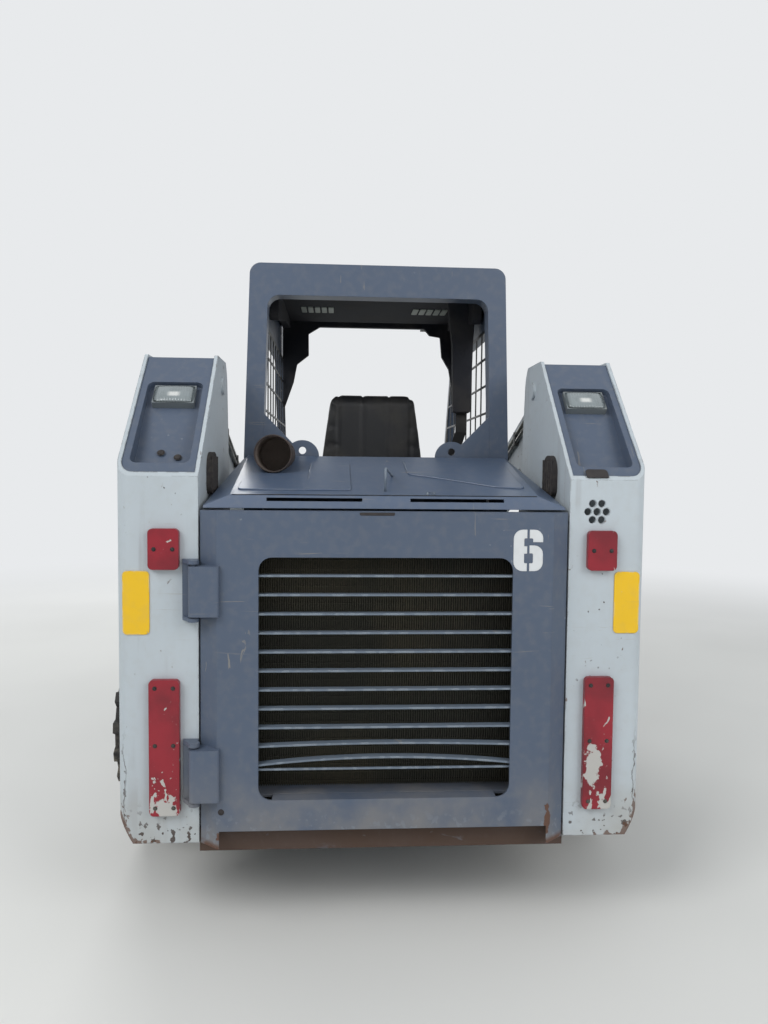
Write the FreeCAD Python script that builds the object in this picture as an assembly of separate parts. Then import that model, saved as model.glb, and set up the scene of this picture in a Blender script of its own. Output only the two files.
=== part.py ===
import FreeCAD, Part

import math
import os

# A compact track loader with a radial-lift boom, an open canopy and a bucket.
# Millimetres. While a piece is drawn, x runs forward from the towers' rear plates, y to the
# left and z up from the ground. keep() then moves it so that the middle of the machine's
# length is x = 0.

# Shared clearances
GROUND_CLEARANCE = 300.0
CONTACT_GAP = 0.3       # between pieces that are bolted or welded together
RUNNING_GAP = 5.0       # between a moving piece and its neighbour, at the least
PIN_GAP = 0.4           # round a pin, on the radius

# Canopy
CANOPY_X = (600.0, 1960.0)
CANOPY_TOP_Z = 2225.0
CANOPY_TOP_HALF = 482.0
CANOPY_BASE_HALF = 505.0
CANOPY_POST = 70.0
CANOPY_BEAM = 118.0
CANOPY_DEPTH = 70.0             # the rear portal, from back to front
CANOPY_CORNER_R = 42.0
CANOPY_SILL_Z = 1250.0
CANOPY_SIDE = 40.0
CANOPY_SIDE_INSET = 6.0
CANOPY_FRONT_TOP_X = 1610.0     # the side walls lean back to here
CANOPY_KNEE_RISE = 200.0        # of the lean's foot over the sill
CANOPY_WINDOW_TOP_Z = 2010.0
CANOPY_WINDOW_MARGIN = 80.0
HEADER = (55.0, 30.0)           # the front header, along x and z
ROOF_SHEET = 20.0
ROOF_EDGE_R = 18.0
LUG_Y = 285.0
LUG_Z = 1527.0
LUG_HALF = 63.0
LUG_RISE = 39.0                 # from the hole's middle to the lug's top
LUG_HOLE_R = 14.0
LUG_PLATE = 12.0
GUSSET_WIDTH = 130.0
GUSSET_RISE = 170.0             # over the hood's front edge
CROSS_PLATE_Z = (1440.0, 1500.0)
SCREEN_BAR = 8.0
SCREEN_SHEET = 4.7
SCREEN_COLUMNS = 10
SCREEN_ROWS = 7
WORK_LAMP = (60.0, 120.0, 46.0)
WORK_LAMP_Y = 330.0
LAP_PIVOT = (1080.0, 1190.0)
LAP_SHOULDER = (1150.0, 1450.0)
LAP_FRONT = (1730.0, 1400.0)
LAP_Y = 412.0
LAP_R = 14.0
LAP_BEND_R = 60.0
LAP_BOSS_R = 20.0

# Towers: two plates each side of a boom arm, closed by a rear plate that is bent round the
# outer corner
TOWER_CLEARANCE = 61.0          # from the canopy's foot to a tower
TOWER_INNER_Y = CANOPY_BASE_HALF + TOWER_CLEARANCE
TOWER_WIDTH = 249.0
TOWER_OUTER_Y = TOWER_INNER_Y + TOWER_WIDTH
TOWER_PLATE = 12.0
TOWER_CORNER_R = 50.0
TOWER_FOOT_Z = 308.0
TOWER_FOOT_CLIP = (50.0, 85.0)
TOWER_SHOULDER_Z = 1430.0
TOWER_TOP_Z = 1845.0
BOOM_PIVOT = (470.0, 1750.0)
BOOM_PIVOT_R = 30.0
PIVOT_BOSS_R = 58.0
BOSS_PROUD = 8.0
TOWER_HEAD_R = 130.0
TOWER_FRONT_X = 1010.0
TOWER_FRONT_Z = (805.0, 900.0)
TOWER_WAIST = (660.0, 1290.0, 120.0)
TOWER_FOOT_SHORT = 120.0        # the foot ends this far behind the sprocket's axle
TROUGH_LIFT = 4.0
TROUGH_RUNS = (14.0, 55.0, 160.0, 425.0, 553.0)     # its start, pocket, bend, ledge and end, up the slope
TROUGH_DEPTHS = (52.0, 28.0)
TROUGH_FACE = 6.0
TROUGH_SKIN = 8.0
TROUGH_RIM = 22.0
TROUGH_CORNER_R = 22.0
LAMP_RUNS = (330.0, 415.0)
LAMP_FACE = 12.0
LAMP_WIDTH = 136.0
HOLE_PATTERN_INSET = 86.0
HOLE_PATTERN_Z = 1332.0
HOLE_PATTERN_PITCH = 29.0
HOLE_PATTERN_R = 11.5
PAD_Y = (TOWER_INNER_Y + 55.0, TOWER_INNER_Y + 146.0)
PADS_Z = ((1151.0, 1274.0), (400.0, 818.0))
PAD_THICK = 18.0
PAD_CORNER_R = 14.0
BLANK_PLATE_Y = (TOWER_INNER_Y + 145.0, TOWER_INNER_Y + 225.0)
BLANK_PLATE_Z = (953.0, 1146.0)
BLANK_PLATE_THICK = 2.0
BOOT_X = (140.0, 262.0)
BOOT_Z = (1372.0, 1508.0)
BOOT_THICK = 16.0

# Undercarriage
TRACK_GAUGE = 1390.0
TRACK_WIDTH = 450.0
TRACK_BELT = 32.0
TRACK_LUG = 28.0
TRACK_LUGS = 54
SPROCKET = (600.0, 520.0, 215.0)
SPROCKET_TEETH = 15
SPROCKET_TOOTH = (34.0, 4.0)    # root and tip, in from the belt
SPROCKET_HUB = (118.0, 48.0, 62.0)      # its radius, and how far it reaches in and out
SPROCKET_CAP = (74.0, 84.0)
SPROCKET_HALF = 22.0
DRIVE_FLANGE = (150.0, 24.0)
DRIVE_BODY_R = 105.0
REAR_ROLLER = (800.0, 160.0, 100.0)
FRONT_ROLLER = (2060.0, 160.0, 100.0)
IDLER = (2365.0, 252.0, 190.0)
BOTTOM_ROLLERS = 5
WHEEL_HALF = 105.0
WHEEL_RIM = 44.0
WHEEL_WAIST = 0.8               # a share of the rim's radius
ROLLER_AXLE_R = 26.0
IDLER_AXLE_R = 34.0
ARCH_GAP = 40.0
RAIL_PLATE = 14.0
RAIL_INNER_HALF = 122.0
RAIL_ENDS = (70.0, 60.0)        # beyond the rear roller's and the idler's axles
RAIL_Z = (118.0, 215.0, 330.0, 400.0, 430.0)
RAIL_BRIDGE_X = (820.0, 2030.0)
STRUTS_X = (960.0, 1900.0)
STRUT_LENGTH = 150.0
STRUT_Z = (330.0, 420.0)
FENDER_FRONT_X = 2440.0
FENDER_FALL = 0.153
FENDER_SHEET = 6.0
FENDER_LIP = 34.0

# Tub, cab floor and what is inside
TUB_HALF = 440.0
TUB_WALL = 10.0
TUB_TOP_Z = 850.0
TUB_X = (60.0, 2350.0)
TUB_NOSE = (2130.0, 480.0, 60.0)        # where its floor turns up, and where its front starts
TAIL_BAND_Z = (278.0, 352.0)
TAIL_BAND_X = 8.0
SILL_Z = (444.0, 454.0)
SHELF_PLATE = 12.0
SHELF_X = 150.0
FLOOR_SHEET = 8.0
FLOOR_X = (700.0, 2318.0)
FOOTWELL_X = 1650.0
FOOTWELL_Z = 470.0
BULKHEAD_X = 614.0
BULKHEAD_TOP_Z = 1500.0
COOLER_X = (80.0, 170.0)
COOLER_TOP_Z = 1260.0
ENGINE_X = (200.0, 900.0)
ENGINE_HALF = 280.0
ENGINE_DROP = 14.0              # of its top under the tub's
SEAT_BASE_X = (980.0, 1560.0)
SEAT_BASE_HALF = 225.0
SEAT_Z = 1200.0
CUSHION_X = (1130.0, 1645.0)
CUSHION_THICK = 100.0
CUSHION_HALF = 235.0
BACK_FOOT_X = (1100.0, 1128.0)
BACK_SHOULDER_X = (1070.0, 1210.0)
BACK_TOP_X = (1050.0, 1150.0)
BACK_KNEE_Z = (1300.0, 1330.0)
BACK_TOP_Z = 1797.0
BACK_HALVES = (230.0, 185.0)
CONSOLE_X = (1120.0, 1700.0)
CONSOLE_Y = (262.0, 385.0)
CONSOLE_TOP_Z = 1340.0
CONSOLE_STEP = 50.0
STICK = (1600.0, 325.0)
STICK_R = 9.0
GRIP_R = 21.0
GRIP_RUN = (1410.0, 1520.0)
GRIP_LEAN = 13.0

# Rear door, its grille and its hinges
DOOR_PROUD = 45.0
DOOR_BEVEL = 56.0
DOOR_FACE_HALF = TOWER_INNER_Y - RUNNING_GAP - DOOR_BEVEL
DOOR_FOOT_Z = 362.0
DOOR_WING_FOOT_Z = 308.0
DOOR_TOP_Z = 1330.0
DOOR_SHEET = 6.0
GRILLE_HALF = 382.0
GRILLE_Z = (456.0, 1192.0)
GRILLE_CORNER_R = 40.0
GRILLE_TUCK = 14.0              # of the slats behind the door's sheet
SLATS = 11
SLAT_PITCH = 57.6
SLAT_TOP_Z = 1136.0
SLAT_THICK = 6.0
SLAT_DEPTH = 26.0
SLAT_BOWS = {9: 8.0, 10: 22.0}  # slats that have been pushed up in their middle
LOWER_BAR_Z = 546.0
HINGE_PIN = (-36.0, TOWER_INNER_Y + 8.0)
HINGE_PIN_R = 8.0
HINGE_BOX_REAR_X = -62.0
HINGE_BOX_Y = (TOWER_INNER_Y - 70.0, TOWER_INNER_Y + 21.0)
HINGE_BOXES_Z = ((1016.0, 1166.0), (457.0, 616.0))
HINGE_LUG = (17.0, 12.0)        # radius and thickness
HINGE_LEAF = (28.0, 46.0, 9.0)  # from the tower's inner face, to, and its thickness

# Hood and exhaust
HOOD_SHEET = 8.0
HOOD_REAR_X = 3.0
HOOD_FOOT_Z = 1336.0
HOOD_BREAK = (30.0, 1376.0)
HOOD_FRONT = (575.0, 1505.0)
HOOD_HALVES = (TOWER_INNER_Y - 12.0, CANOPY_BASE_HALF - 2.0)    # at the break and at the front
HOOD_RIDGE = (TOWER_INNER_Y - 90.0, CANOPY_BASE_HALF - 20.0)    # the fold's upper line, likewise
HOOD_FOLD_DROP = (28.0, 14.0)   # from the fold's upper line to its lower one, likewise
HOOD_SLOT_Y = (74.0, 365.0)
HOOD_SLOT_Z = (1357.0, 1367.0)
HOOD_HINGE = (566.0, 1480.0)
HOOD_KNUCKLE_R = 12.0
HOOD_HINGE_PIN_R = 6.0
HOOD_HINGES_Y = (320.0, 40.0)   # middle and width of the left knuckle
EXHAUST_Y = 370.0
EXHAUST_Z = 1507.0
EXHAUST_R = 64.0
EXHAUST_WALL = 4.0
EXHAUST_BORE = 190.0
EXHAUST_X = (300.0, 500.0)

# Boom
ARM_INSET = 74.0                # from a tower's inner face
ARM_WIDTH = 110.0
ARM_Y = (TOWER_INNER_Y + ARM_INSET, TOWER_INNER_Y + ARM_INSET + ARM_WIDTH)
ARM_FALL = 0.3483
ARM_HALVES = (92.0, 86.0)       # half the beam's height at the bend and at the knee
ARM_BENDS_X = (1700.0, 2200.0)
LEG_Y = (470.0, 560.0)
LEG_EYE_R = 60.0
HITCH_PIN = (2830.0, 262.0)
HITCH_PIN_R = 24.0
KNEE = (2330.0, 1050.0)
ARM_HEAD_R = 92.0
ARM_CHEEK = 20.0
LIFT_BASE = (381.0, 1122.0)
LIFT_EYE = (925.0, 1498.0)
LIFT_BORE_R = 45.0
LIFT_ROD_R = 25.0
LIFT_PIN_R = 22.0
LIFT_BOSS_R = 34.0
LIFT_HALF = 32.0        # half the width of the eyes at both ends
LIFT_ROD_OUT = 95.0     # rod that shows beyond the barrel's mouth
LIFT_EYE_PLAY = 25.0    # room in the arm all round the rod's eye
TILT_BASE = (2437.0, 946.0)
TILT_EYE = (2821.0, 405.0)
TILT_Y = 400.0
TILT_BORE_R = 38.0
TILT_ROD_R = 21.0
TILT_PIN_R = 20.0
TILT_HALF = 25.0
TILT_ROD_OUT = 150.0
TILT_STROKE_IN = 62.0   # how far the rod goes in from its place at rest
EYE_SHARE = 1.55        # an eye's radius over its rod's
BARREL_NECK = 30.0
CROSS_TUBE = (2515.0, 628.0, 55.0)

# Hitch and bucket
HITCH_HALF = 578.0
HITCH_PLATE_X = (2900.0, 2916.0)
HITCH_PLATE_Z = (150.0, 520.0)
HITCH_EAR = 14.0
HITCH_EAR_GAP = 4.0
TILT_EAR = 13.0
TILT_BOSS_R = 24.0
BUCKET_HALF = 990.0
BUCKET_SHEET = 10.0
BUCKET_FLOOR_Z = 22.0
BUCKET_LIP_X = 3610.0
BUCKET_HEEL_X = 2985.0
BUCKET_TOP = (2938.0, 610.0)
BUCKET_HEEL_R = 190.0
BUCKET_RIB = (60.0, 60.0)
BUCKET_MIDDLE_HALF = 90.0
EDGE_DEPTH = 160.0
EDGE_THICK = 16.0
EDGE_PROUD = 60.0
EDGE_BEVEL = (24.0, 4.0)
EDGE_BOLTS = 7
EDGE_BOLT_PITCH = 290.0
EDGE_BOLT_INSET = 40.0
EDGE_BOLT_R = 10.0

FRONT_X = BUCKET_LIP_X + EDGE_PROUD
MIDDLE_X = (FRONT_X + HINGE_BOX_REAR_X) / 2
OVERRUN = 1.0           # how far a cutting shape reaches beyond what it cuts

XZ, YZ, XY = "xz", "yz", "xy"


def place(plane, a, b, level):
    """The point at (a, b) in a plane, at that level along the plane's normal."""
    spots = {XZ: (a, level, b), YZ: (level, a, b), XY: (a, b, level)}
    return FreeCAD.Vector(*spots[plane])


def outline(plane, corners, level):
    """A closed wire through corners (a, b) or (a, b, radius), each rounded by its radius."""
    points = [place(plane, c[0], c[1], level) for c in corners]
    radii = [c[2] if len(c) > 2 else 0.0 for c in corners]
    count = len(points)
    ends = []
    for i, point in enumerate(points):
        before = (points[i - 1] - point).normalize()
        after = (points[(i + 1) % count] - point).normalize()
        if radii[i] == 0.0:
            ends.append((point, None, point))
            continue
        half = math.acos(max(-1.0, min(1.0, before.dot(after)))) / 2
        reach = radii[i] / math.tan(half)
        middle = (before + after).normalize()
        top = point + middle * (radii[i] / math.sin(half) - radii[i])
        ends.append((point + before * reach, top, point + after * reach))
    edges = []
    for i, (start, top, end) in enumerate(ends):
        if top is not None:
            edges.append(Part.Arc(start, top, end).toShape())
        following = ends[(i + 1) % count][0]
        if (following - end).Length > 1e-6:
            edges.append(Part.LineSegment(end, following).toShape())
    return Part.Wire(edges)


def slab(plane, corners, low, high):
    """The outline drawn at one level and pushed to another."""
    push = place(plane, 0, 0, high) - place(plane, 0, 0, low)
    return Part.Face(outline(plane, corners, low)).extrude(push)


def block(x, y, z):
    """A box from its (low, high) on each axis."""
    return Part.makeBox(x[1] - x[0], y[1] - y[0], z[1] - z[0], FreeCAD.Vector(x[0], y[0], z[0]))


def rod_y(centre, radius, y_low, y_high):
    """A round bar along y, its centre given as (x, z)."""
    start = FreeCAD.Vector(centre[0], y_low, centre[1])
    return Part.makeCylinder(radius, y_high - y_low, start, FreeCAD.Vector(0, 1, 0))


def rod_between(radius, start, end):
    """A round bar from one point to another."""
    a, b = FreeCAD.Vector(*start), FreeCAD.Vector(*end)
    return Part.makeCylinder(radius, (b - a).Length, a, b - a)


def fused(shapes):
    """One solid out of shapes that overlap or touch."""
    whole = shapes[0].multiFuse(shapes[1:]) if len(shapes) > 1 else shapes[0]
    return whole.removeSplitter()


def mirrored(shape):
    """The same piece on the machine's right side."""
    return shape.mirror(FreeCAD.Vector(0, 0, 0), FreeCAD.Vector(0, 1, 0))


def pair(shape):
    """A left piece and its right twin, as two solids in one node."""
    return Part.makeCompound([shape, mirrored(shape)])


def keep(name, shape):
    """Write one node, moved to the machine's own origin."""
    shape = shape.copy()
    shape.translate(FreeCAD.Vector(-MIDDLE_X, 0, 0))
    solids = shape.Solids
    out = solids[0] if len(solids) == 1 else Part.makeCompound(solids)
    bad = [s for s in solids if not s.isValid() or s.Volume <= 0]
    print("%-18s solids %d volume %.1f dm3%s" % (name, len(solids), out.Volume / 1e6, " BAD" if bad else ""))
    out.exportStep("parts/%s.step" % name)


# Undercarriage

def wheel_path(grow):
    """The line that wraps the track's wheels at a distance outside them.

    Returns its pieces, each (kind, data, length), anticlockwise seen with x to the right.
    """
    wheels = [REAR_ROLLER, FRONT_ROLLER, IDLER, SPROCKET]
    circles = [(x, z, r + grow) for x, z, r in wheels]
    tangents = []
    for i, (x1, z1, r1) in enumerate(circles):
        x2, z2, r2 = circles[(i + 1) % len(circles)]
        span = math.hypot(x2 - x1, z2 - z1)
        normal = math.atan2(z2 - z1, x2 - x1) - math.acos((r1 - r2) / span)
        tangents.append(normal)
    pieces = []
    for i, (x1, z1, r1) in enumerate(circles):
        x2, z2, r2 = circles[(i + 1) % len(circles)]
        arrive, leave = tangents[i - 1], tangents[i]
        turn = (leave - arrive) % (2 * math.pi)
        pieces.append(("arc", (x1, z1, r1, arrive), r1 * turn))
        start = (x1 + r1 * math.cos(leave), z1 + r1 * math.sin(leave))
        end = (x2 + r2 * math.cos(leave), z2 + r2 * math.sin(leave))
        pieces.append(("line", (start, end, leave), math.dist(start, end)))
    return pieces


def along(pieces, distance, lift):
    """The point that far along a wheel path, lifted off it, as (x, z)."""
    distance %= sum(length for _, _, length in pieces)
    for kind, data, length in pieces:
        if distance > length:
            distance -= length
            continue
        if kind == "arc":
            x, z, r, arrive = data
            angle = arrive + distance / r
            return (x + (r + lift) * math.cos(angle), z + (r + lift) * math.sin(angle))
        start, end, normal = data
        share = distance / length
        x = start[0] + (end[0] - start[0]) * share + lift * math.cos(normal)
        z = start[1] + (end[1] - start[1]) * share + lift * math.sin(normal)
        return (x, z)


def path_wire(pieces, y):
    """A wheel path as a closed wire of true arcs and lines."""
    edges = []
    for kind, data, length in pieces:
        if kind == "arc":
            x, z, r, arrive = data
            spots = [arrive + share * length / r for share in (0.0, 0.5, 1.0)]
            points = [FreeCAD.Vector(x + r * math.cos(a), y, z + r * math.sin(a)) for a in spots]
            edges.append(Part.Arc(*points).toShape())
        else:
            start, end, _ = data
            edges.append(Part.LineSegment(place(XZ, *start, y), place(XZ, *end, y)).toShape())
    return Part.Wire(edges)


def track():
    """The left track: a belt with its lugs in its outline, round all the wheels."""
    outside = wheel_path(TRACK_BELT)
    pitch = sum(length for _, _, length in outside) / TRACK_LUGS
    # shares of the pitch and heights of one lug's corners
    lug = ((0.18, 0.0), (0.30, TRACK_LUG), (0.62, TRACK_LUG), (0.74, 0.0))
    corners = [along(outside, (n + share) * pitch, height) for n in range(TRACK_LUGS) for share, height in lug]
    low = TRACK_GAUGE / 2 - TRACK_WIDTH / 2
    high = TRACK_GAUGE / 2 + TRACK_WIDTH / 2
    hollow = Part.Face(path_wire(wheel_path(CONTACT_GAP), low - OVERRUN))
    hollow = hollow.extrude(FreeCAD.Vector(0, high - low + 2 * OVERRUN, 0))
    return slab(XZ, corners, low, high).cut(hollow)


def sprocket():
    """The toothed drive wheel with its hub."""
    x, z, r = SPROCKET
    root, tip = r - SPROCKET_TOOTH[0], r - SPROCKET_TOOTH[1]
    corners = []
    for tooth in range(SPROCKET_TEETH):
        for share, radius in ((0.0, root), (0.28, root), (0.42, tip), (0.72, tip), (0.86, root)):
            angle = 2 * math.pi * (tooth + share) / SPROCKET_TEETH
            corners.append((x + radius * math.cos(angle), z + radius * math.sin(angle)))
    middle = TRACK_GAUGE / 2
    toothed = slab(XZ, corners, middle - SPROCKET_HALF, middle + SPROCKET_HALF)
    hub_r, inward, outward = SPROCKET_HUB
    cap_r, cap_reach = SPROCKET_CAP
    hub = rod_y((x, z), hub_r, middle - inward, middle + outward)
    cap = rod_y((x, z), cap_r, middle, middle + cap_reach)
    return fused([toothed, hub, cap])


def final_drive():
    """The drive motor between the tub's side and the sprocket's hub."""
    x, z, _ = SPROCKET
    flange_r, flange_reach = DRIVE_FLANGE
    flange = rod_y((x, z), flange_r, TUB_HALF + CONTACT_GAP, TUB_HALF + flange_reach)
    body = rod_y((x, z), DRIVE_BODY_R, TUB_HALF + CONTACT_GAP, TRACK_GAUGE / 2 - SPROCKET_HUB[1] - CONTACT_GAP)
    return fused([flange, body])


def wheel(x, z, r, axle_r):
    """A track wheel: two rims, a slimmer middle and its axle's ends."""
    middle = TRACK_GAUGE / 2
    half, inside = WHEEL_HALF, WHEEL_HALF - WHEEL_RIM
    waist = WHEEL_WAIST * r
    reach = RAIL_INNER_HALF - CONTACT_GAP
    profile = ((0, -reach), (axle_r, -reach), (axle_r, -half), (r, -half), (r, -inside), (waist, -inside),
               (waist, inside), (r, inside), (r, half), (axle_r, half), (axle_r, reach), (0, reach))
    points = [FreeCAD.Vector(x + radius, middle + y, z) for radius, y in profile]
    face = Part.Face(Part.makePolygon(points + points[:1]))
    return face.revolve(FreeCAD.Vector(x, 0, z), FreeCAD.Vector(0, 1, 0), 360)


def rollers():
    """The left side's bottom rollers, evenly spaced between the end ones."""
    step = (FRONT_ROLLER[0] - REAR_ROLLER[0]) / (BOTTOM_ROLLERS - 1)
    x, z, r = REAR_ROLLER
    return [wheel(x + n * step, z, r, ROLLER_AXLE_R) for n in range(BOTTOM_ROLLERS)]


def track_frame():
    """The left track frame: two rails joined on top, with struts to the tub."""
    middle = TRACK_GAUGE / 2
    rear, front = REAR_ROLLER[0] - RAIL_ENDS[0], IDLER[0] + RAIL_ENDS[1]
    foot, toe, flank, bridge, top = RAIL_Z
    rail = ((rear, foot, 20), (FRONT_ROLLER[0] + RAIL_ENDS[1], foot, 20), (front, toe, 20), (front, flank, 30),
            (RAIL_BRIDGE_X[1] + 50, top, 60), (rear + 60, top, 60), (rear, flank, 40))
    shapes = []
    for side in (-1, 1):
        inner = middle + side * RAIL_INNER_HALF
        outer = inner + side * RAIL_PLATE
        shapes.append(slab(XZ, rail, min(inner, outer), max(inner, outer)))
    reach = RAIL_INNER_HALF + RAIL_PLATE / 2
    shapes.append(block(RAIL_BRIDGE_X, (middle - reach, middle + reach), (bridge, top)))
    for x in STRUTS_X:
        shapes.append(block((x, x + STRUT_LENGTH), (TUB_HALF + CONTACT_GAP, middle - RAIL_INNER_HALF), STRUT_Z))
    return fused(shapes)


# Tub, floor, fenders and what is inside

def main_frame():
    """The tub: one open tray with a shelf each side at the rear, a sill and a band across the tail."""
    rear, front = TUB_X
    nose_x, nose_z, nose_r = TUB_NOSE
    profile = ((rear, GROUND_CLEARANCE), (nose_x, GROUND_CLEARANCE, nose_r), (front, nose_z, nose_r),
               (front, TUB_TOP_Z), (rear, TUB_TOP_Z))
    tub = slab(XZ, profile, -TUB_HALF, TUB_HALF)
    floor = GROUND_CLEARANCE + TUB_WALL
    inside = ((rear - OVERRUN, floor), (nose_x - 0.4 * TUB_WALL, floor, nose_r),
              (front - TUB_WALL, nose_z + 0.4 * TUB_WALL, nose_r), (front - TUB_WALL, TUB_TOP_Z + OVERRUN),
              (rear - OVERRUN, TUB_TOP_Z + OVERRUN))
    tub = tub.cut(slab(XZ, inside, -TUB_HALF + TUB_WALL, TUB_HALF - TUB_WALL))
    reach = TOWER_INNER_Y - CONTACT_GAP
    band = block((TAIL_BAND_X, rear + 2 * TUB_WALL), (-reach, reach), TAIL_BAND_Z)
    inner = TUB_HALF - TUB_WALL / 2
    sill = block((TAIL_BAND_X, COOLER_X[0] - CONTACT_GAP), (-inner, inner), SILL_Z)
    shapes = [tub, band, sill]
    for side in (-1, 1):
        low, high = sorted((side * (TUB_HALF - TUB_WALL), side * reach))
        shapes.append(block((SHELF_X, TOWER_FRONT_X), (low, high), (TUB_TOP_Z - SHELF_PLATE, TUB_TOP_Z)))
    return fused(shapes)


def fender():
    """The left fender: a sloping sheet over the track, with its outer edge turned down."""
    x, z, r = SPROCKET
    rear, front = TOWER_FRONT_X + CONTACT_GAP, FENDER_FRONT_X
    crest = z + r + TRACK_BELT + TRACK_LUG + ARCH_GAP
    low, high = crest - (rear - x) * FENDER_FALL, crest - (front - x) * FENDER_FALL
    top = ((rear, low), (front, high), (front, high + FENDER_SHEET), (rear, low + FENDER_SHEET))
    lip = ((rear, low - FENDER_LIP), (front, high - FENDER_LIP), (front, high), (rear, low))
    deck = slab(XZ, top, TUB_HALF + CONTACT_GAP, TOWER_OUTER_Y)
    edge = slab(XZ, lip, TOWER_OUTER_Y - FENDER_SHEET, TOWER_OUTER_Y)
    return fused([deck, edge])


def cab_floor():
    """The deck under the seat, bent down into the footwell."""
    t = FLOOR_SHEET
    rear, front = FLOOR_X
    low, high = FOOTWELL_Z, TUB_TOP_Z
    corners = ((rear, high), (FOOTWELL_X, high, 10), (FOOTWELL_X, low + t, 10), (front, low + t), (front, low),
               (FOOTWELL_X - t, low, 18), (FOOTWELL_X - t, high - t, 4), (rear, high - t))
    reach = TUB_HALF - TUB_WALL - CONTACT_GAP
    return slab(XZ, corners, -reach, reach)


def bulkhead():
    """The wall between the engine and the operator."""
    portal, walls = CANOPY_BASE_HALF - CANOPY_POST, CANOPY_TOP_HALF - CANOPY_SIDE_INSET - CANOPY_SIDE
    half = min(portal, walls) - 2 * RUNNING_GAP
    low, high = TUB_TOP_Z + CONTACT_GAP, BULKHEAD_TOP_Z
    return block((BULKHEAD_X, BULKHEAD_X + FLOOR_SHEET), (-half, half), (low, high))


def radiator():
    """The cooler core behind the grille."""
    half = TUB_HALF - TUB_WALL - RUNNING_GAP
    return block(COOLER_X, (-half, half), (GROUND_CLEARANCE + TUB_WALL + CONTACT_GAP, COOLER_TOP_Z))


def engine():
    """The engine as one plain block at its place."""
    height = (GROUND_CLEARANCE + TUB_WALL + CONTACT_GAP, TUB_TOP_Z - ENGINE_DROP)
    return block(ENGINE_X, (-ENGINE_HALF, ENGINE_HALF), height)


# Towers

def slope(low_z):
    """The lean and length of a line from the rear face at low_z to where it touches the round head."""
    px, rise = BOOM_PIVOT[0], BOOM_PIVOT[1] - low_z
    span = math.hypot(px, rise)
    return math.atan2(rise, px) + math.asin(TOWER_HEAD_R / span), math.sqrt(span ** 2 - TOWER_HEAD_R ** 2)


def tower_plate(y_low, y_high):
    """One side plate: a tall post with a round head, cut clear of the track."""
    px, pz = BOOM_PIVOT
    x, z, r = SPROCKET
    arch_r = r + TRACK_BELT + TRACK_LUG + ARCH_GAP
    head = TOWER_HEAD_R
    lean, reach = slope(TOWER_SHOULDER_Z)
    touch = (reach * math.cos(lean), TOWER_SHOULDER_Z + reach * math.sin(lean))
    front_low, front_high = TOWER_FRONT_Z
    post = ((0, TOWER_FOOT_Z), (x - TOWER_FOOT_SHORT, TOWER_FOOT_Z), (x, z), (TOWER_FRONT_X, front_low),
            (TOWER_FRONT_X, front_high, 60), TOWER_WAIST, (px + head, pz), (px, pz), touch, (0, TOWER_SHOULDER_Z))
    plate = slab(XZ, post, y_low, y_high).fuse(rod_y(BOOM_PIVOT, head, y_low, y_high))
    sides = (y_low - OVERRUN, y_high + OVERRUN)
    arch = rod_y((x, z), arch_r, *sides)
    below = block((x - arch_r, x + 2 * arch_r), sides, (0, z))
    front = slab(XZ, ((x, z - OVERRUN), (TOWER_FRONT_X + OVERRUN, z - OVERRUN), (TOWER_FRONT_X + OVERRUN, front_low),
                      (x + 60, z + arch_r - 6)), *sides)
    above = block((0, px + head + OVERRUN), sides, (TOWER_TOP_Z, pz + head + OVERRUN))
    return plate.cut(arch).cut(below).cut(front).cut(above).removeSplitter()


def tower_bend(inset):
    """The plan of the space inside the bent rear plate, or with an inset of what lies within it."""
    side = TOWER_OUTER_Y - inset
    return ((inset, TOWER_INNER_Y), (inset, side, TOWER_CORNER_R - inset), (TOWER_FRONT_X, side),
            (TOWER_FRONT_X, TOWER_INNER_Y))


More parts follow.
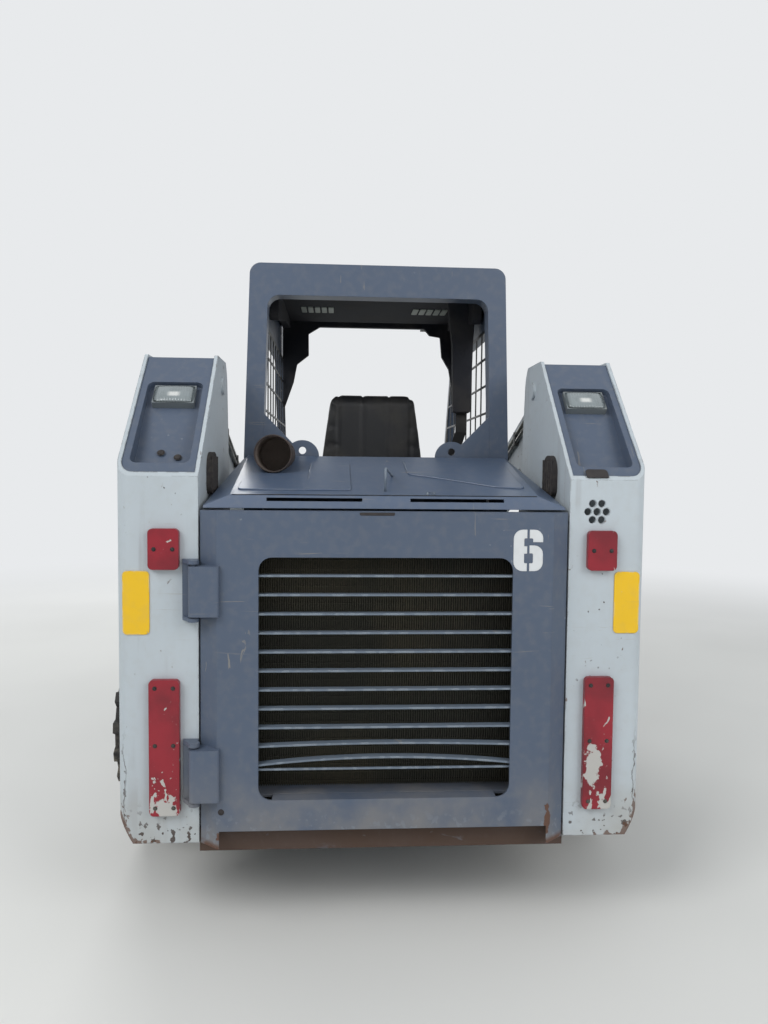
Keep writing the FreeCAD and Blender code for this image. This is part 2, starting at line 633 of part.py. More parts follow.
def tower(with_holes):
    """The left tower: two plates, the bent rear plate and the boom's pivot pin."""
    t, corner = TOWER_PLATE, TOWER_CORNER_R + TOWER_PLATE
    clip_y, clip_z = TOWER_FOOT_CLIP
    outer = tower_plate(TOWER_OUTER_Y - t, TOWER_OUTER_Y)
    toe = ((corner - OVERRUN, TOWER_FOOT_Z - OVERRUN), (corner + clip_y, TOWER_FOOT_Z - OVERRUN),
           (corner - OVERRUN, TOWER_FOOT_Z + clip_z))
    outer = outer.cut(slab(XZ, toe, TOWER_OUTER_Y - 2 * t, TOWER_OUTER_Y + OVERRUN))
    lean, _ = slope(TOWER_SHOULDER_Z)
    rise = corner * math.tan(lean)
    bend = slab(XY, tower_bend(0), TOWER_FOOT_Z, TOWER_SHOULDER_Z + rise)
    bend = bend.cut(slab(XY, tower_bend(t), TOWER_FOOT_Z - OVERRUN, TOWER_SHOULDER_Z + rise + OVERRUN))
    keep_x = block((0, corner), (TOWER_INNER_Y, TOWER_OUTER_Y + OVERRUN), (TOWER_FOOT_Z, TOWER_SHOULDER_Z + rise))
    beyond = OVERRUN * math.tan(lean)
    over = ((-OVERRUN, TOWER_SHOULDER_Z - beyond), (corner + OVERRUN, TOWER_SHOULDER_Z + rise + beyond),
            (-OVERRUN, TOWER_SHOULDER_Z + 2 * rise))
    heel = ((TOWER_OUTER_Y + OVERRUN, TOWER_FOOT_Z - OVERRUN), (TOWER_OUTER_Y + OVERRUN, TOWER_FOOT_Z + clip_z),
            (TOWER_OUTER_Y - clip_y, TOWER_FOOT_Z - OVERRUN))
    bend = bend.common(keep_x).cut(slab(XZ, over, TOWER_INNER_Y - OVERRUN, TOWER_OUTER_Y + OVERRUN))
    bend = bend.cut(slab(YZ, heel, -OVERRUN, corner + OVERRUN))
    outer = outer.cut(block((-OVERRUN, corner), (TOWER_INNER_Y, TOWER_OUTER_Y + OVERRUN), (0, TOWER_TOP_Z)))
    shapes = [outer, bend, tower_plate(TOWER_INNER_Y, TOWER_INNER_Y + t)]
    shapes.append(rod_y(BOOM_PIVOT, BOOM_PIVOT_R, TOWER_INNER_Y - BOSS_PROUD, TOWER_OUTER_Y + BOSS_PROUD))
    shapes.append(rod_y(BOOM_PIVOT, PIVOT_BOSS_R, TOWER_OUTER_Y - OVERRUN, TOWER_OUTER_Y + BOSS_PROUD))
    shapes.append(rod_y(LIFT_BASE, LIFT_PIN_R, TOWER_INNER_Y - BOSS_PROUD, TOWER_OUTER_Y + BOSS_PROUD))
    whole = fused(shapes)
    if with_holes:
        spots = [(0.0, 0.0)]
        for n in range(6):
            angle = math.radians(60 * n)
            spots.append((HOLE_PATTERN_PITCH * math.cos(angle), HOLE_PATTERN_PITCH * math.sin(angle)))
        for dy, dz in spots:
            centre = FreeCAD.Vector(-OVERRUN, TOWER_INNER_Y + HOLE_PATTERN_INSET + dy, HOLE_PATTERN_Z + dz)
            hole = Part.makeCylinder(HOLE_PATTERN_R, TOWER_PLATE + 2 * OVERRUN, centre, FreeCAD.Vector(1, 0, 0))
            whole = whole.cut(hole)
    return whole


def trough_spot(run, depth):
    """A point of the trough's side view: run up along the towers' slope, depth square to it."""
    low_z = TOWER_SHOULDER_Z + TROUGH_LIFT
    lean, _ = slope(low_z)
    return (math.cos(lean) * run + math.sin(lean) * depth, low_z + math.sin(lean) * run - math.cos(lean) * depth)


def pocket_depth(run):
    """How deep the trough's floor lies at a run."""
    _, _, bend, ledge, _ = TROUGH_RUNS
    deep, shallow = TROUGH_DEPTHS
    return deep + (shallow - deep) * (run - bend) / (ledge - bend)


def lamp_trough():
    """The left tower's sloping tray with the pocket that holds the rear lamp."""
    start, low, bend, ledge, end = TROUGH_RUNS
    deep, shallow = TROUGH_DEPTHS
    face, skin = TROUGH_FACE, TROUGH_SKIN
    side = CONTACT_GAP + TOWER_PLATE
    tray = [trough_spot(*s) for s in ((start, face), (end, face), (end, face + skin), (ledge + skin, face + skin),
                                      (ledge + skin, shallow + skin), (bend, deep + skin), (start, deep + skin))]
    whole = slab(XZ, tray, TOWER_INNER_Y + side, TOWER_OUTER_Y - side)
    pocket = [trough_spot(*s) for s in ((low, -skin), (ledge, -skin), (ledge, shallow), (bend, deep), (low, deep))]
    cutter = slab(XZ, pocket, TOWER_INNER_Y + side + TROUGH_RIM, TOWER_OUTER_Y - side - TROUGH_RIM)
    lean, _ = slope(TOWER_SHOULDER_Z + TROUGH_LIFT)
    inward = FreeCAD.Vector(math.sin(lean), 0, -math.cos(lean))
    corners = [e for e in cutter.Edges if abs(e.tangentAt(e.FirstParameter).dot(inward)) > 0.999]
    cutter = cutter.makeFillet(TROUGH_CORNER_R, corners)
    return whole.cut(cutter).common(slab(XY, tower_bend(side), TOWER_SHOULDER_Z - 2 * deep, TOWER_TOP_Z))


def rear_lamps():
    """The lamps on the troughs' floors, under the ledge."""
    low, high = LAMP_RUNS
    spots = ((low, pocket_depth(low) - CONTACT_GAP), (high, pocket_depth(high) - CONTACT_GAP), (high, LAMP_FACE),
             (low, LAMP_FACE))
    middle = (TOWER_INNER_Y + TOWER_OUTER_Y) / 2
    return pair(slab(XZ, [trough_spot(*s) for s in spots], middle - LAMP_WIDTH / 2, middle + LAMP_WIDTH / 2))


# Rear door, hood and exhaust

def rear_door():
    """A bevelled pan with the grille's opening and its two hinge boxes. Its bevels reach lower than its face."""
    t, proud, face, back = DOOR_SHEET, DOOR_PROUD, DOOR_FACE_HALF, DOOR_FACE_HALF + DOOR_BEVEL
    pan = ((0, -back), (0, back), (-proud, face), (-proud, -face))
    whole = slab(XY, pan, DOOR_FOOT_Z, DOOR_TOP_Z)
    hollow = ((OVERRUN, -back + 2.4 * t), (OVERRUN, back - 2.4 * t), (-proud + t, face - 0.4 * t),
              (-proud + t, -face + 0.4 * t))
    whole = whole.cut(slab(XY, hollow, DOOR_FOOT_Z + t, DOOR_TOP_Z - t))
    half, (low, high), r = GRILLE_HALF, GRILLE_Z, GRILLE_CORNER_R
    hole = ((-half, low, r), (half, low, r), (half, high, r), (-half, high, r))
    whole = whole.cut(slab(YZ, hole, -proud - OVERRUN, OVERRUN))
    shapes = [whole, block((-proud + t / 2, 0), (r - half, half - r), (low - t, low))]
    for side in (-1, 1):
        wing = ((0, side * back), (-proud, side * face), (-proud, side * (face - t)), (0, side * (back - 2.4 * t)))
        shapes.append(slab(XY, wing, DOOR_WING_FOOT_Z, DOOR_FOOT_Z + t))
    for low, high in HINGE_BOXES_Z:
        inner, outer = HINGE_BOX_Y
        box = ((HINGE_BOX_REAR_X, inner, 8), (HINGE_BOX_REAR_X, outer, 14), (-RUNNING_GAP, outer, 14),
               (-RUNNING_GAP, face + DOOR_BEVEL / 2), (-proud + t / 2, inner))
        shapes.append(slab(XY, box, low, high))
    whole = fused(shapes)
    for low, high in HINGE_BOXES_Z:
        foot = FreeCAD.Vector(*HINGE_PIN, low - OVERRUN)
        whole = whole.cut(Part.makeCylinder(HINGE_PIN_R + PIN_GAP, high - low + 2 * OVERRUN, foot))
    return whole


def slat(z, bow):
    """One slat across the door's opening. A bowed one is an arc, higher in its middle."""
    rear = -DOOR_PROUD + DOOR_SHEET + CONTACT_GAP
    reach, low, high = GRILLE_HALF + GRILLE_TUCK, z - SLAT_THICK / 2, z + SLAT_THICK / 2
    if not bow:
        return block((rear, rear + SLAT_DEPTH), (-reach, reach), (low, high))
    line = ((-reach, 0), (0, bow), (reach, 0))
    lower, upper = [[place(YZ, y, level + rise, rear) for y, rise in line] for level in (low, high)]
    edges = [Part.Arc(*lower), Part.LineSegment(lower[2], upper[2]), Part.Arc(*reversed(upper)),
             Part.LineSegment(upper[0], lower[0])]
    return Part.Face(Part.Wire([e.toShape() for e in edges])).extrude(FreeCAD.Vector(SLAT_DEPTH, 0, 0))


def door_grille():
    """Thin slats behind the door's opening, joined by a strip at each end, with one bar below them."""
    rear = -DOOR_PROUD + DOOR_SHEET + CONTACT_GAP
    reach = GRILLE_HALF + GRILLE_TUCK
    shapes = [slat(SLAT_TOP_Z - n * SLAT_PITCH, SLAT_BOWS.get(n, 0.0)) for n in range(SLATS)]
    bar = (LOWER_BAR_Z - SLAT_THICK / 2, LOWER_BAR_Z + SLAT_THICK / 2)
    shapes.append(block((rear + SLAT_THICK, rear + 2 * SLAT_THICK), (-reach, reach), bar))
    for side in (-1, 1):
        low, high = sorted((side * (reach - SLAT_THICK), side * reach))
        shapes.append(block((rear, rear + SLAT_DEPTH), (low, high), GRILLE_Z))
    return fused(shapes)


def door_hinge_lugs():
    """On the left tower, a leaf beside each hinge box with a lug above and below it and the pin through both."""
    leaves = []
    x, y = HINGE_PIN
    r, thick = HINGE_LUG
    near, far, leaf = HINGE_LEAF
    near, far = TOWER_INNER_Y + near, TOWER_INNER_Y + far
    for low, high in HINGE_BOXES_Z:
        under, over = low - RUNNING_GAP - thick, high + RUNNING_GAP
        shapes = [Part.makeCylinder(HINGE_PIN_R, over + thick - under, FreeCAD.Vector(x, y, under))]
        shapes.append(block((-CONTACT_GAP - leaf, -CONTACT_GAP), (near, far), (under, over + thick)))
        for z in (under, over):
            lug = ((x, y - r / 2), (x, y + r), (-CONTACT_GAP - leaf, far), (-CONTACT_GAP, far), (-CONTACT_GAP, y - r / 2))
            shapes.append(slab(XY, lug, z, z + thick))
            shapes.append(Part.makeCylinder(r, thick, FreeCAD.Vector(x, y, z)))
        leaves.append(fused(shapes))
    return Part.makeCompound(leaves)


def hood_fold(inset):
    """What the left fold takes off the hood's upper edge: a wedge that runs the hood's length."""
    rear_x, front_x = HOOD_BREAK[0], HOOD_FRONT[0]
    wires = []
    for x in (0.0, CANOPY_X[0]):
        share = (x - rear_x) / (front_x - rear_x)
        ridge, half, drop, top = (a + (b - a) * share for a, b in (
            HOOD_RIDGE, HOOD_HALVES, HOOD_FOLD_DROP, (HOOD_BREAK[1], HOOD_FRONT[1])))
        out, down = half - ridge, drop
        spots = ((ridge, top), (ridge + 3 * out, top - 3 * down), (ridge + 3 * out, top + 3 * out))
        wires.append(outline(YZ, [(y - 0.4 * inset, z - 0.9 * inset) for y, z in spots], x))
    return Part.makeLoft(wires, True, True)


def hood_form(profile, inset):
    """A bent block with its sides drawn in towards the front and folded along the top."""
    half = HOOD_HALVES[0] - inset
    whole = slab(XZ, profile, -half, half)
    waste = slab(XY, ((0, half), (CANOPY_X[0], HOOD_HALVES[1] - inset), (CANOPY_X[0], 2 * half), (0, 2 * half)),
                 HOOD_FOOT_Z - 2 * OVERRUN, CANOPY_TOP_Z)
    for piece in (waste, hood_fold(inset)):
        whole = whole.cut(piece).cut(mirrored(piece))
    return whole


def hood():
    """The engine's lid: a bent sheet with folded sides and two long slots."""
    t = HOOD_SHEET
    (break_x, break_z), (front_x, front_z) = HOOD_BREAK, HOOD_FRONT
    top = ((HOOD_REAR_X, HOOD_FOOT_Z), (break_x, break_z, 20), (front_x, front_z), (front_x, HOOD_FOOT_Z))
    below = ((HOOD_REAR_X + 1.3 * t, HOOD_FOOT_Z - OVERRUN), (break_x + 0.6 * t, break_z - t, 14),
             (front_x + OVERRUN, front_z - t), (front_x + OVERRUN, HOOD_FOOT_Z - OVERRUN))
    whole = hood_form(top, 0.0).cut(hood_form(below, t))
    for side in (-1, 1):
        low, high = sorted(side * y for y in HOOD_SLOT_Y)
        whole = whole.cut(block((0, break_x + t), (low, high), HOOD_SLOT_Z))
    whole = whole.cut(exhaust_round(EXHAUST_R + CONTACT_GAP))
    x, z = HOOD_HINGE
    middle, width = HOOD_HINGES_Y
    knuckles = []
    for side in (-1, 1):
        low, high = side * middle - width / 2, side * middle + width / 2
        knuckles.append(rod_y(HOOD_HINGE, HOOD_KNUCKLE_R, low, high))
        knuckles.append(block((x - HOOD_KNUCKLE_R, front_x - OVERRUN), (low, high), (z, front_z - t + OVERRUN)))
    return fused([whole] + knuckles).cut(rod_y(HOOD_HINGE, HOOD_HINGE_PIN_R + PIN_GAP, -HOOD_RIDGE[1], HOOD_RIDGE[1]))


def hood_hinge_lugs():
    """The fixed half of each hood hinge, in the canopy's foot: two lugs and their pin."""
    x, z = HOOD_HINGE
    middle, width = HOOD_HINGES_Y
    r = 1.5 * HOOD_HINGE_PIN_R
    reach = CANOPY_X[0] + RUNNING_GAP
    gap, thick = 2.0, 6.0
    shapes = []
    for side in (-1, 1):
        low, high = side * middle - width / 2, side * middle + width / 2
        shapes.append(rod_y(HOOD_HINGE, HOOD_HINGE_PIN_R, low - gap - thick, high + gap + thick))
        for y in (low - gap - thick, high + gap):
            shapes.append(rod_y(HOOD_HINGE, r, y, y + thick))
            shank = ((x, z - r), (reach, z - 22), (reach, z - 6), (x + 8, z - 4), (x, z))
            shapes.append(slab(XZ, shank, y, y + thick))
    return shapes


def exhaust_round(radius):
    """A round bar along the tail pipe's line."""
    start, end = EXHAUST_X
    return Part.makeCylinder(radius, end - start, FreeCAD.Vector(start, EXHAUST_Y, EXHAUST_Z), FreeCAD.Vector(1, 0, 0))


def exhaust_pipe():
    """The tail pipe, let into the hood."""
    mouth = EXHAUST_X[0]
    start = FreeCAD.Vector(mouth - OVERRUN, EXHAUST_Y, EXHAUST_Z)
    bore = Part.makeCylinder(EXHAUST_R - EXHAUST_WALL, EXHAUST_BORE, start, FreeCAD.Vector(1, 0, 0))
    return exhaust_round(EXHAUST_R).cut(bore)


# Canopy and cab

def canopy_half(z):
    """Half of the canopy's width at a height."""
    share = (z - HOOD_FRONT[1]) / (CANOPY_TOP_Z - HOOD_FRONT[1])
    return CANOPY_BASE_HALF + (CANOPY_TOP_HALF - CANOPY_BASE_HALF) * share


def window_outline(grow):
    """A side window's outline, grown by a margin: upright at the rear, leaning back at the front."""
    rear, front = CANOPY_X
    margin = CANOPY_WINDOW_MARGIN
    low, knee = CANOPY_SILL_Z, CANOPY_SILL_Z + CANOPY_KNEE_RISE
    wall_top = CANOPY_TOP_Z - ROOF_SHEET - CONTACT_GAP
    lean = (front - CANOPY_FRONT_TOP_X) / (wall_top - knee)
    top_x = CANOPY_FRONT_TOP_X + (wall_top - CANOPY_WINDOW_TOP_Z) * lean - margin
    left, right, high = rear + margin - grow, front - margin + grow, CANOPY_WINDOW_TOP_Z + grow
    return ((left, low - grow, 40), (left, high, 40), (top_x + grow, high, 60), (right, knee, 60), (right, low - grow, 40))


def canopy_frame():
    """The rear portal, two side walls with their windows, the front header, gussets and two lugs."""
    rear, front = CANOPY_X
    foot = TUB_TOP_Z + CONTACT_GAP
    top = CANOPY_TOP_Z - ROOF_SHEET - CONTACT_GAP
    beam = CANOPY_TOP_Z - CANOPY_BEAM
    base, shoulder, head = CANOPY_BASE_HALF, HOOD_FRONT[1], canopy_half(CANOPY_TOP_Z)
    portal = slab(YZ, ((-base, foot), (base, foot), (base, shoulder), (head, CANOPY_TOP_Z, CANOPY_CORNER_R),
                       (-head, CANOPY_TOP_Z, CANOPY_CORNER_R), (-base, shoulder)), rear, rear + CANOPY_DEPTH)
    inner, under = base - CANOPY_POST, canopy_half(beam) - CANOPY_POST
    gate = slab(YZ, ((-inner, foot - OVERRUN), (inner, foot - OVERRUN), (inner, shoulder), (under, beam, 45),
                     (-under, beam, 45), (-inner, shoulder)), rear - OVERRUN, rear + CANOPY_DEPTH + OVERRUN)
    shapes = [portal.cut(gate)]
    wall = ((rear + LUG_PLATE, foot), (rear + LUG_PLATE, top), (CANOPY_FRONT_TOP_X, top, 50),
            (front, CANOPY_SILL_Z + CANOPY_KNEE_RISE, 60), (front, foot))
    outer = CANOPY_TOP_HALF - CANOPY_SIDE_INSET
    for side in (-1, 1):
        low, high = sorted((side * (outer - CANOPY_SIDE), side * outer))
        window = slab(XZ, window_outline(0.0), low - OVERRUN, high + OVERRUN)
        shapes.append(slab(XZ, wall, low, high).cut(window))
    length, height = HEADER
    header_x = CANOPY_FRONT_TOP_X - ROOF_SHEET / 2
    shapes.append(block((header_x - length, header_x), (-outer, outer), (top - height, top)))
    plate = (rear + LUG_PLATE / 6, rear + LUG_PLATE * 7 / 6)
    for side in (-1, 1):
        y, peak = side * LUG_Y, LUG_Z + LUG_RISE
        lug = ((y - LUG_HALF, CROSS_PLATE_Z[0]), (y + LUG_HALF, CROSS_PLATE_Z[0]), (y + LUG_HALF, peak, LUG_HALF - 2),
               (y - LUG_HALF, peak, LUG_HALF - 2))
        shapes.append(slab(YZ, lug, *plate))
        gusset = ((side * (inner + RUNNING_GAP), shoulder + GUSSET_RISE), (side * (inner + RUNNING_GAP), CROSS_PLATE_Z[0]),
                  (side * (inner - GUSSET_WIDTH), CROSS_PLATE_Z[0]), (side * (inner - GUSSET_WIDTH), shoulder + LUG_HALF / 2))
        shapes.append(slab(YZ, gusset, *plate))
    shapes.append(block(plate, (-inner - CANOPY_POST / 2, inner + CANOPY_POST / 2), CROSS_PLATE_Z))
    whole = fused(shapes + hood_hinge_lugs())
    for side in (-1, 1):
        base = FreeCAD.Vector(rear, side * LUG_Y, LUG_Z)
        whole = whole.cut(Part.makeCylinder(LUG_HOLE_R, 2 * LUG_PLATE, base, FreeCAD.Vector(1, 0, 0)))
    return whole


def canopy_roof():
    """The roof plate in front of the rear portal, with rounded long edges."""
    half = CANOPY_TOP_HALF
    low = CANOPY_TOP_Z - ROOF_SHEET
    section = ((-half, low), (half, low), (half, CANOPY_TOP_Z, ROOF_EDGE_R), (-half, CANOPY_TOP_Z, ROOF_EDGE_R))
    return slab(YZ, section, CANOPY_X[0] + CANOPY_DEPTH + CONTACT_GAP, CANOPY_FRONT_TOP_X)


def side_screens():
    """The steel mesh in each side window, as bars with rectangular gaps."""
    outside, inside = window_outline(SCREEN_BAR), window_outline(-SCREEN_BAR / 2)
    low = CANOPY_TOP_HALF - CANOPY_SIDE_INSET - CANOPY_SIDE - CONTACT_GAP - SCREEN_SHEET
    high = low + SCREEN_SHEET
    sheet = slab(XZ, outside, low, high)
    (low_x, low_z), (high_x, high_z) = inside[0][:2], (inside[3][0], inside[1][1])
    step_x = (high_x - low_x + SCREEN_BAR) / SCREEN_COLUMNS
    step_z = (high_z - low_z + SCREEN_BAR) / SCREEN_ROWS
    gaps = []
    for column in range(SCREEN_COLUMNS):
        for row in range(SCREEN_ROWS):
            x, z = low_x + column * step_x, low_z + row * step_z
            gaps.append(block((x, x + step_x - SCREEN_BAR), (low - OVERRUN, high + OVERRUN), (z, z + step_z - SCREEN_BAR)))
    room = slab(XZ, inside, low - 2 * OVERRUN, high + 2 * OVERRUN)
    return pair(sheet.cut(Part.makeCompound([gap.common(room) for gap in gaps])))


def seat_base():
    return block(SEAT_BASE_X, (-SEAT_BASE_HALF, SEAT_BASE_HALF), (TUB_TOP_Z + CONTACT_GAP, SEAT_Z))


def seat_cushion():
    (rear, front), low, high = CUSHION_X, SEAT_Z + CONTACT_GAP, SEAT_Z + CUSHION_THICK
    corners = ((rear, low, 10), (front, low, 30), (front, high + 10, 50), (rear, high - 10, 20))
    return slab(XZ, corners, -CUSHION_HALF, CUSHION_HALF)


def seat_back():
    """The backrest: leaning in side view, and narrower at its rounded top than at its foot."""
    low, (knee, bulge) = SEAT_Z + CONTACT_GAP, BACK_KNEE_Z
    side = ((BACK_FOOT_X[0], low), (BACK_FOOT_X[1], low), (BACK_FOOT_X[1], knee), (BACK_SHOULDER_X[1], bulge, 40),
            (BACK_TOP_X[1], BACK_TOP_Z, 40), (BACK_TOP_X[0], BACK_TOP_Z, 40), (BACK_SHOULDER_X[0], bulge))
    wide, narrow = BACK_HALVES
    face = ((-wide, low), (wide, low), (wide, bulge), (narrow, BACK_TOP_Z, 45), (-narrow, BACK_TOP_Z, 45), (-wide, bulge))
    return slab(XZ, side, -wide, wide).common(slab(YZ, face, BACK_TOP_X[0] - OVERRUN, BACK_SHOULDER_X[1] + OVERRUN))


def consoles():
    (rear, front), low, high = CONSOLE_X, TUB_TOP_Z + CONTACT_GAP, CONSOLE_TOP_Z
    step = CONSOLE_STEP
    box = ((rear, low), (front - step, low), (front, high - step, 60), (front - 0.8 * step, high, 30), (rear + step, high, 50),
           (rear, high - step, 30))
    return pair(slab(XZ, box, *CONSOLE_Y))


def joysticks():
    (x, y), (low, high) = STICK, GRIP_RUN
    stem = rod_between(STICK_R, (x, y, CONSOLE_TOP_Z + CONTACT_GAP), (x, y, low + STICK_R))
    grip = rod_between(GRIP_R, (x, y, low), (x + GRIP_LEAN, y, high))
    return pair(fused([stem, grip]))


def bent_tube(points, bend_r, radius):
    """A round tube through points, with equal bends between its straight runs."""
    spots = [FreeCAD.Vector(*p) for p in points]
    edges = []
    start = spots[0]
    for before, corner, after in zip(spots, spots[1:], spots[2:]):
        back = (before - corner).normalize()
        ahead = (after - corner).normalize()
        half = math.acos(back.dot(ahead)) / 2
        reach = bend_r / math.tan(half)
        top = corner + (back + ahead).normalize() * (bend_r / math.sin(half) - bend_r)
        edges.append(Part.LineSegment(start, corner + back * reach).toShape())
        edges.append(Part.Arc(corner + back * reach, top, corner + ahead * reach).toShape())
        start = corner + ahead * reach
    edges.append(Part.LineSegment(start, spots[-1]).toShape())
    ring = Part.Wire(Part.makeCircle(radius, spots[0], spots[1] - spots[0]))
    return Part.Wire(edges).makePipeShell([ring], True, False)


def lap_bar():
    """The operator's restraint: a bent tube pivoted low on both side walls."""
    half = [(x, LAP_Y, z) for x, z in (LAP_PIVOT, LAP_SHOULDER, LAP_FRONT)]
    shapes = [bent_tube(half + [(x, -y, z) for x, y, z in reversed(half)], LAP_BEND_R, LAP_R)]
    wall = CANOPY_TOP_HALF - CANOPY_SIDE_INSET - CANOPY_SIDE - CONTACT_GAP
    for side in (-1, 1):
        low, high = sorted((side * (LAP_Y - LAP_BOSS_R), side * wall))
        shapes.append(rod_y(LAP_PIVOT, LAP_BOSS_R, low, high))
    return fused(shapes)


def work_lamps():
    """The lamps on the front of the header."""
    length, width, height = WORK_LAMP
    rear = CANOPY_FRONT_TOP_X + CONTACT_GAP
    side = (WORK_LAMP_Y - width / 2, WORK_LAMP_Y + width / 2)
    return pair(block((rear, rear + length), side, (CANOPY_TOP_Z - height, CANOPY_TOP_Z)))


# Pads and plates on the towers

def pads(y, heights, thick):
    """Rounded pads on both towers' rear faces, all between the same y and one above another."""
    r = PAD_CORNER_R
    shapes = []
    for z_low, z_high in heights:
        corners = ((y[0], z_low, r), (y[1], z_low, r), (y[1], z_high, r), (y[0], z_high, r))
        shapes.append(slab(YZ, corners, -thick - CONTACT_GAP, -CONTACT_GAP))
    return Part.makeCompound(shapes + [mirrored(shape) for shape in shapes])


def hose_boots():
    """Rubber boots on the towers' inner faces, where hoses come out."""
    (rear, front), (low, high) = BOOT_X, BOOT_Z
    corners = ((rear, low, 30), (front, low, 30), (front, high, 55), (rear, high, 55))
    return pair(slab(XZ, corners, TOWER_INNER_Y - BOOT_THICK, TOWER_INNER_Y - CONTACT_GAP))


# Boom

def arm_line(x):
    """The height of the upper beam's middle at an x."""
    px, pz = BOOM_PIVOT
    return pz - (x - px) * ARM_FALL


def boom_arm():
    """The left arm: a straight beam, a length that bends inboard and the leg to the hitch."""
    px, pz = BOOM_PIVOT
    bend, knee = ARM_BENDS_X
    tall, low = ARM_HALVES
    beam = ((px, pz + ARM_HEAD_R), (900, arm_line(900) + 100, 200), (bend, arm_line(bend) + tall),
            (bend, arm_line(bend) - tall), (1050, arm_line(1050) - 105, 200), (px, pz - ARM_HEAD_R))
    rear = slab(XZ, beam, *ARM_Y).fuse(rod_y(BOOM_PIVOT, ARM_HEAD_R, *ARM_Y))
    sections = []
    for x, (y_low, y_high), half in ((bend, ARM_Y, tall), (knee, LEG_Y, low)):
        z = arm_line(x)
        spots = [(y_low, z - half), (y_high, z - half), (y_high, z + half), (y_low, z + half)]
        sections.append(outline(YZ, spots, x))
    inboard = Part.makeLoft(sections, True, True)
    kx, kz = KNEE
    hx, hz = HITCH_PIN
    span = math.dist(KNEE, HITCH_PIN)
    nx, nz = (kz - hz) / span, (hx - kx) / span
    leg = ((knee, arm_line(knee) + low), (kx + 10, arm_line(knee) + 50, 60), (kx + 78 * nx, kz + 78 * nz, 60),
           (hx + LEG_EYE_R * nx, hz + LEG_EYE_R * nz), (hx - LEG_EYE_R * nx, hz - LEG_EYE_R * nz),
           (kx - 85 * nx, kz - 85 * nz, 40),
           (knee, arm_line(knee) - low))
    front = slab(XZ, leg, *LEG_Y).fuse(rod_y(HITCH_PIN, LEG_EYE_R, *LEG_Y))
    tx, tz = TILT_BASE
    ear_x = kx + 20
    ear = ((ear_x, tz + 100), (tx - 10, tz + 60, 40), (tx + 45, tz + 20, 30), (tx + 20, tz - 45, 30), (ear_x, tz - 40, 10))
    bracket = slab(XZ, ear, TILT_Y - 65, TILT_Y - 50).fuse(slab(XZ, ear, LEG_Y[0] - 18, LEG_Y[0] + 5))
    bracket = bracket.fuse(block((ear_x - 10, ear_x + 12), (TILT_Y - 65, LEG_Y[0] + 5), (tz - 40, tz + 100)))
    tilt_pin = rod_y(TILT_BASE, TILT_PIN_R, TILT_Y - 70, LEG_Y[0] + 5)
    lift_ears = []
    ex, ez = LIFT_EYE
    ear = ((ex - 75, ez + 60), (ex - 45, ez - 30, 30), (ex, ez - 45, 30), (ex + 45, ez - 30, 30), (ex + 75, ez + 60))
    for y_low, y_high in ((ARM_Y[0] + 2, ARM_Y[0] + ARM_CHEEK), (ARM_Y[1] - ARM_CHEEK, ARM_Y[1] - 2)):
        lift_ears.append(slab(XZ, ear, y_low, y_high))
    bosses = [rod_y(LIFT_EYE, LIFT_BOSS_R, y, y + BOSS_PROUD) for y in (ARM_Y[0] - 6, ARM_Y[1] - 2)]
    room = LIFT_ROD_R * EYE_SHARE + LIFT_EYE_PLAY + RUNNING_GAP
    channel = ((ex - 190, ez - 80), (ex, ez - 80), (ex, ez + room), (ex - 60, ez + room, 30), (ex - 190, ez + 20))
    cheeks = (ARM_Y[0] + ARM_CHEEK, ARM_Y[1] - ARM_CHEEK)
    rear = rear.cut(rod_y(LIFT_EYE, room, *cheeks)).cut(slab(XZ, channel, *cheeks))
    whole = fused([rear, inboard, front, bracket, tilt_pin] + lift_ears + bosses)
    whole = whole.cut(rod_y(BOOM_PIVOT, BOOM_PIVOT_R + PIN_GAP, ARM_Y[0] - 1, ARM_Y[1] + 1))
    return whole.cut(rod_y(HITCH_PIN, HITCH_PIN_R + PIN_GAP, LEG_Y[0] - 1, LEG_Y[1] + 1))


def cross_tube():
    x, z, r = CROSS_TUBE
    return rod_y((x, z), r, -LEG_Y[0] + CONTACT_GAP, LEG_Y[0] - CONTACT_GAP)


def cylinder(base, eye, y, bore_r, rod_r, pin_r, half, rod_out, stroke_in):
    """A hydraulic cylinder between two pins: its barrel, bored for the base pin, and its rod.

    The rod's eye is solid, as if its pin were pressed into it.
    """
    bx, bz = base
    ex, ez = eye
    length = math.dist(base, eye)
    ux, uz = (ex - bx) / length, (ez - bz) / length

    def spot(run):
        return (bx + ux * run, y, bz + uz * run)

    mouth = length - rod_out
    bottom = bore_r + BARREL_NECK
    barrel = fused([rod_between(bore_r, spot(BARREL_NECK), spot(mouth)), rod_y(base, bore_r * 0.95, y - half, y + half)])
    rod_start = bottom + stroke_in + RUNNING_GAP
    rod = fused([rod_between(rod_r, spot(rod_start), spot(length)), rod_y(eye, rod_r * EYE_SHARE, y - half, y + half)])
    barrel = barrel.cut(rod_between(rod_r + PIN_GAP, spot(bottom), spot(mouth + 1)))
    return barrel.cut(rod_y(base, pin_r + PIN_GAP, y - 2 * half, y + 2 * half)), rod


def lift_cylinder():
    y = (ARM_Y[0] + ARM_Y[1]) / 2
    return cylinder(LIFT_BASE, LIFT_EYE, y, LIFT_BORE_R, LIFT_ROD_R, LIFT_PIN_R, LIFT_HALF, LIFT_ROD_OUT, 0.0)


def tilt_cylinder():
    return cylinder(TILT_BASE, TILT_EYE, TILT_Y, TILT_BORE_R, TILT_ROD_R, TILT_PIN_R, TILT_HALF, TILT_ROD_OUT, TILT_STROKE_IN)


# Hitch and bucket

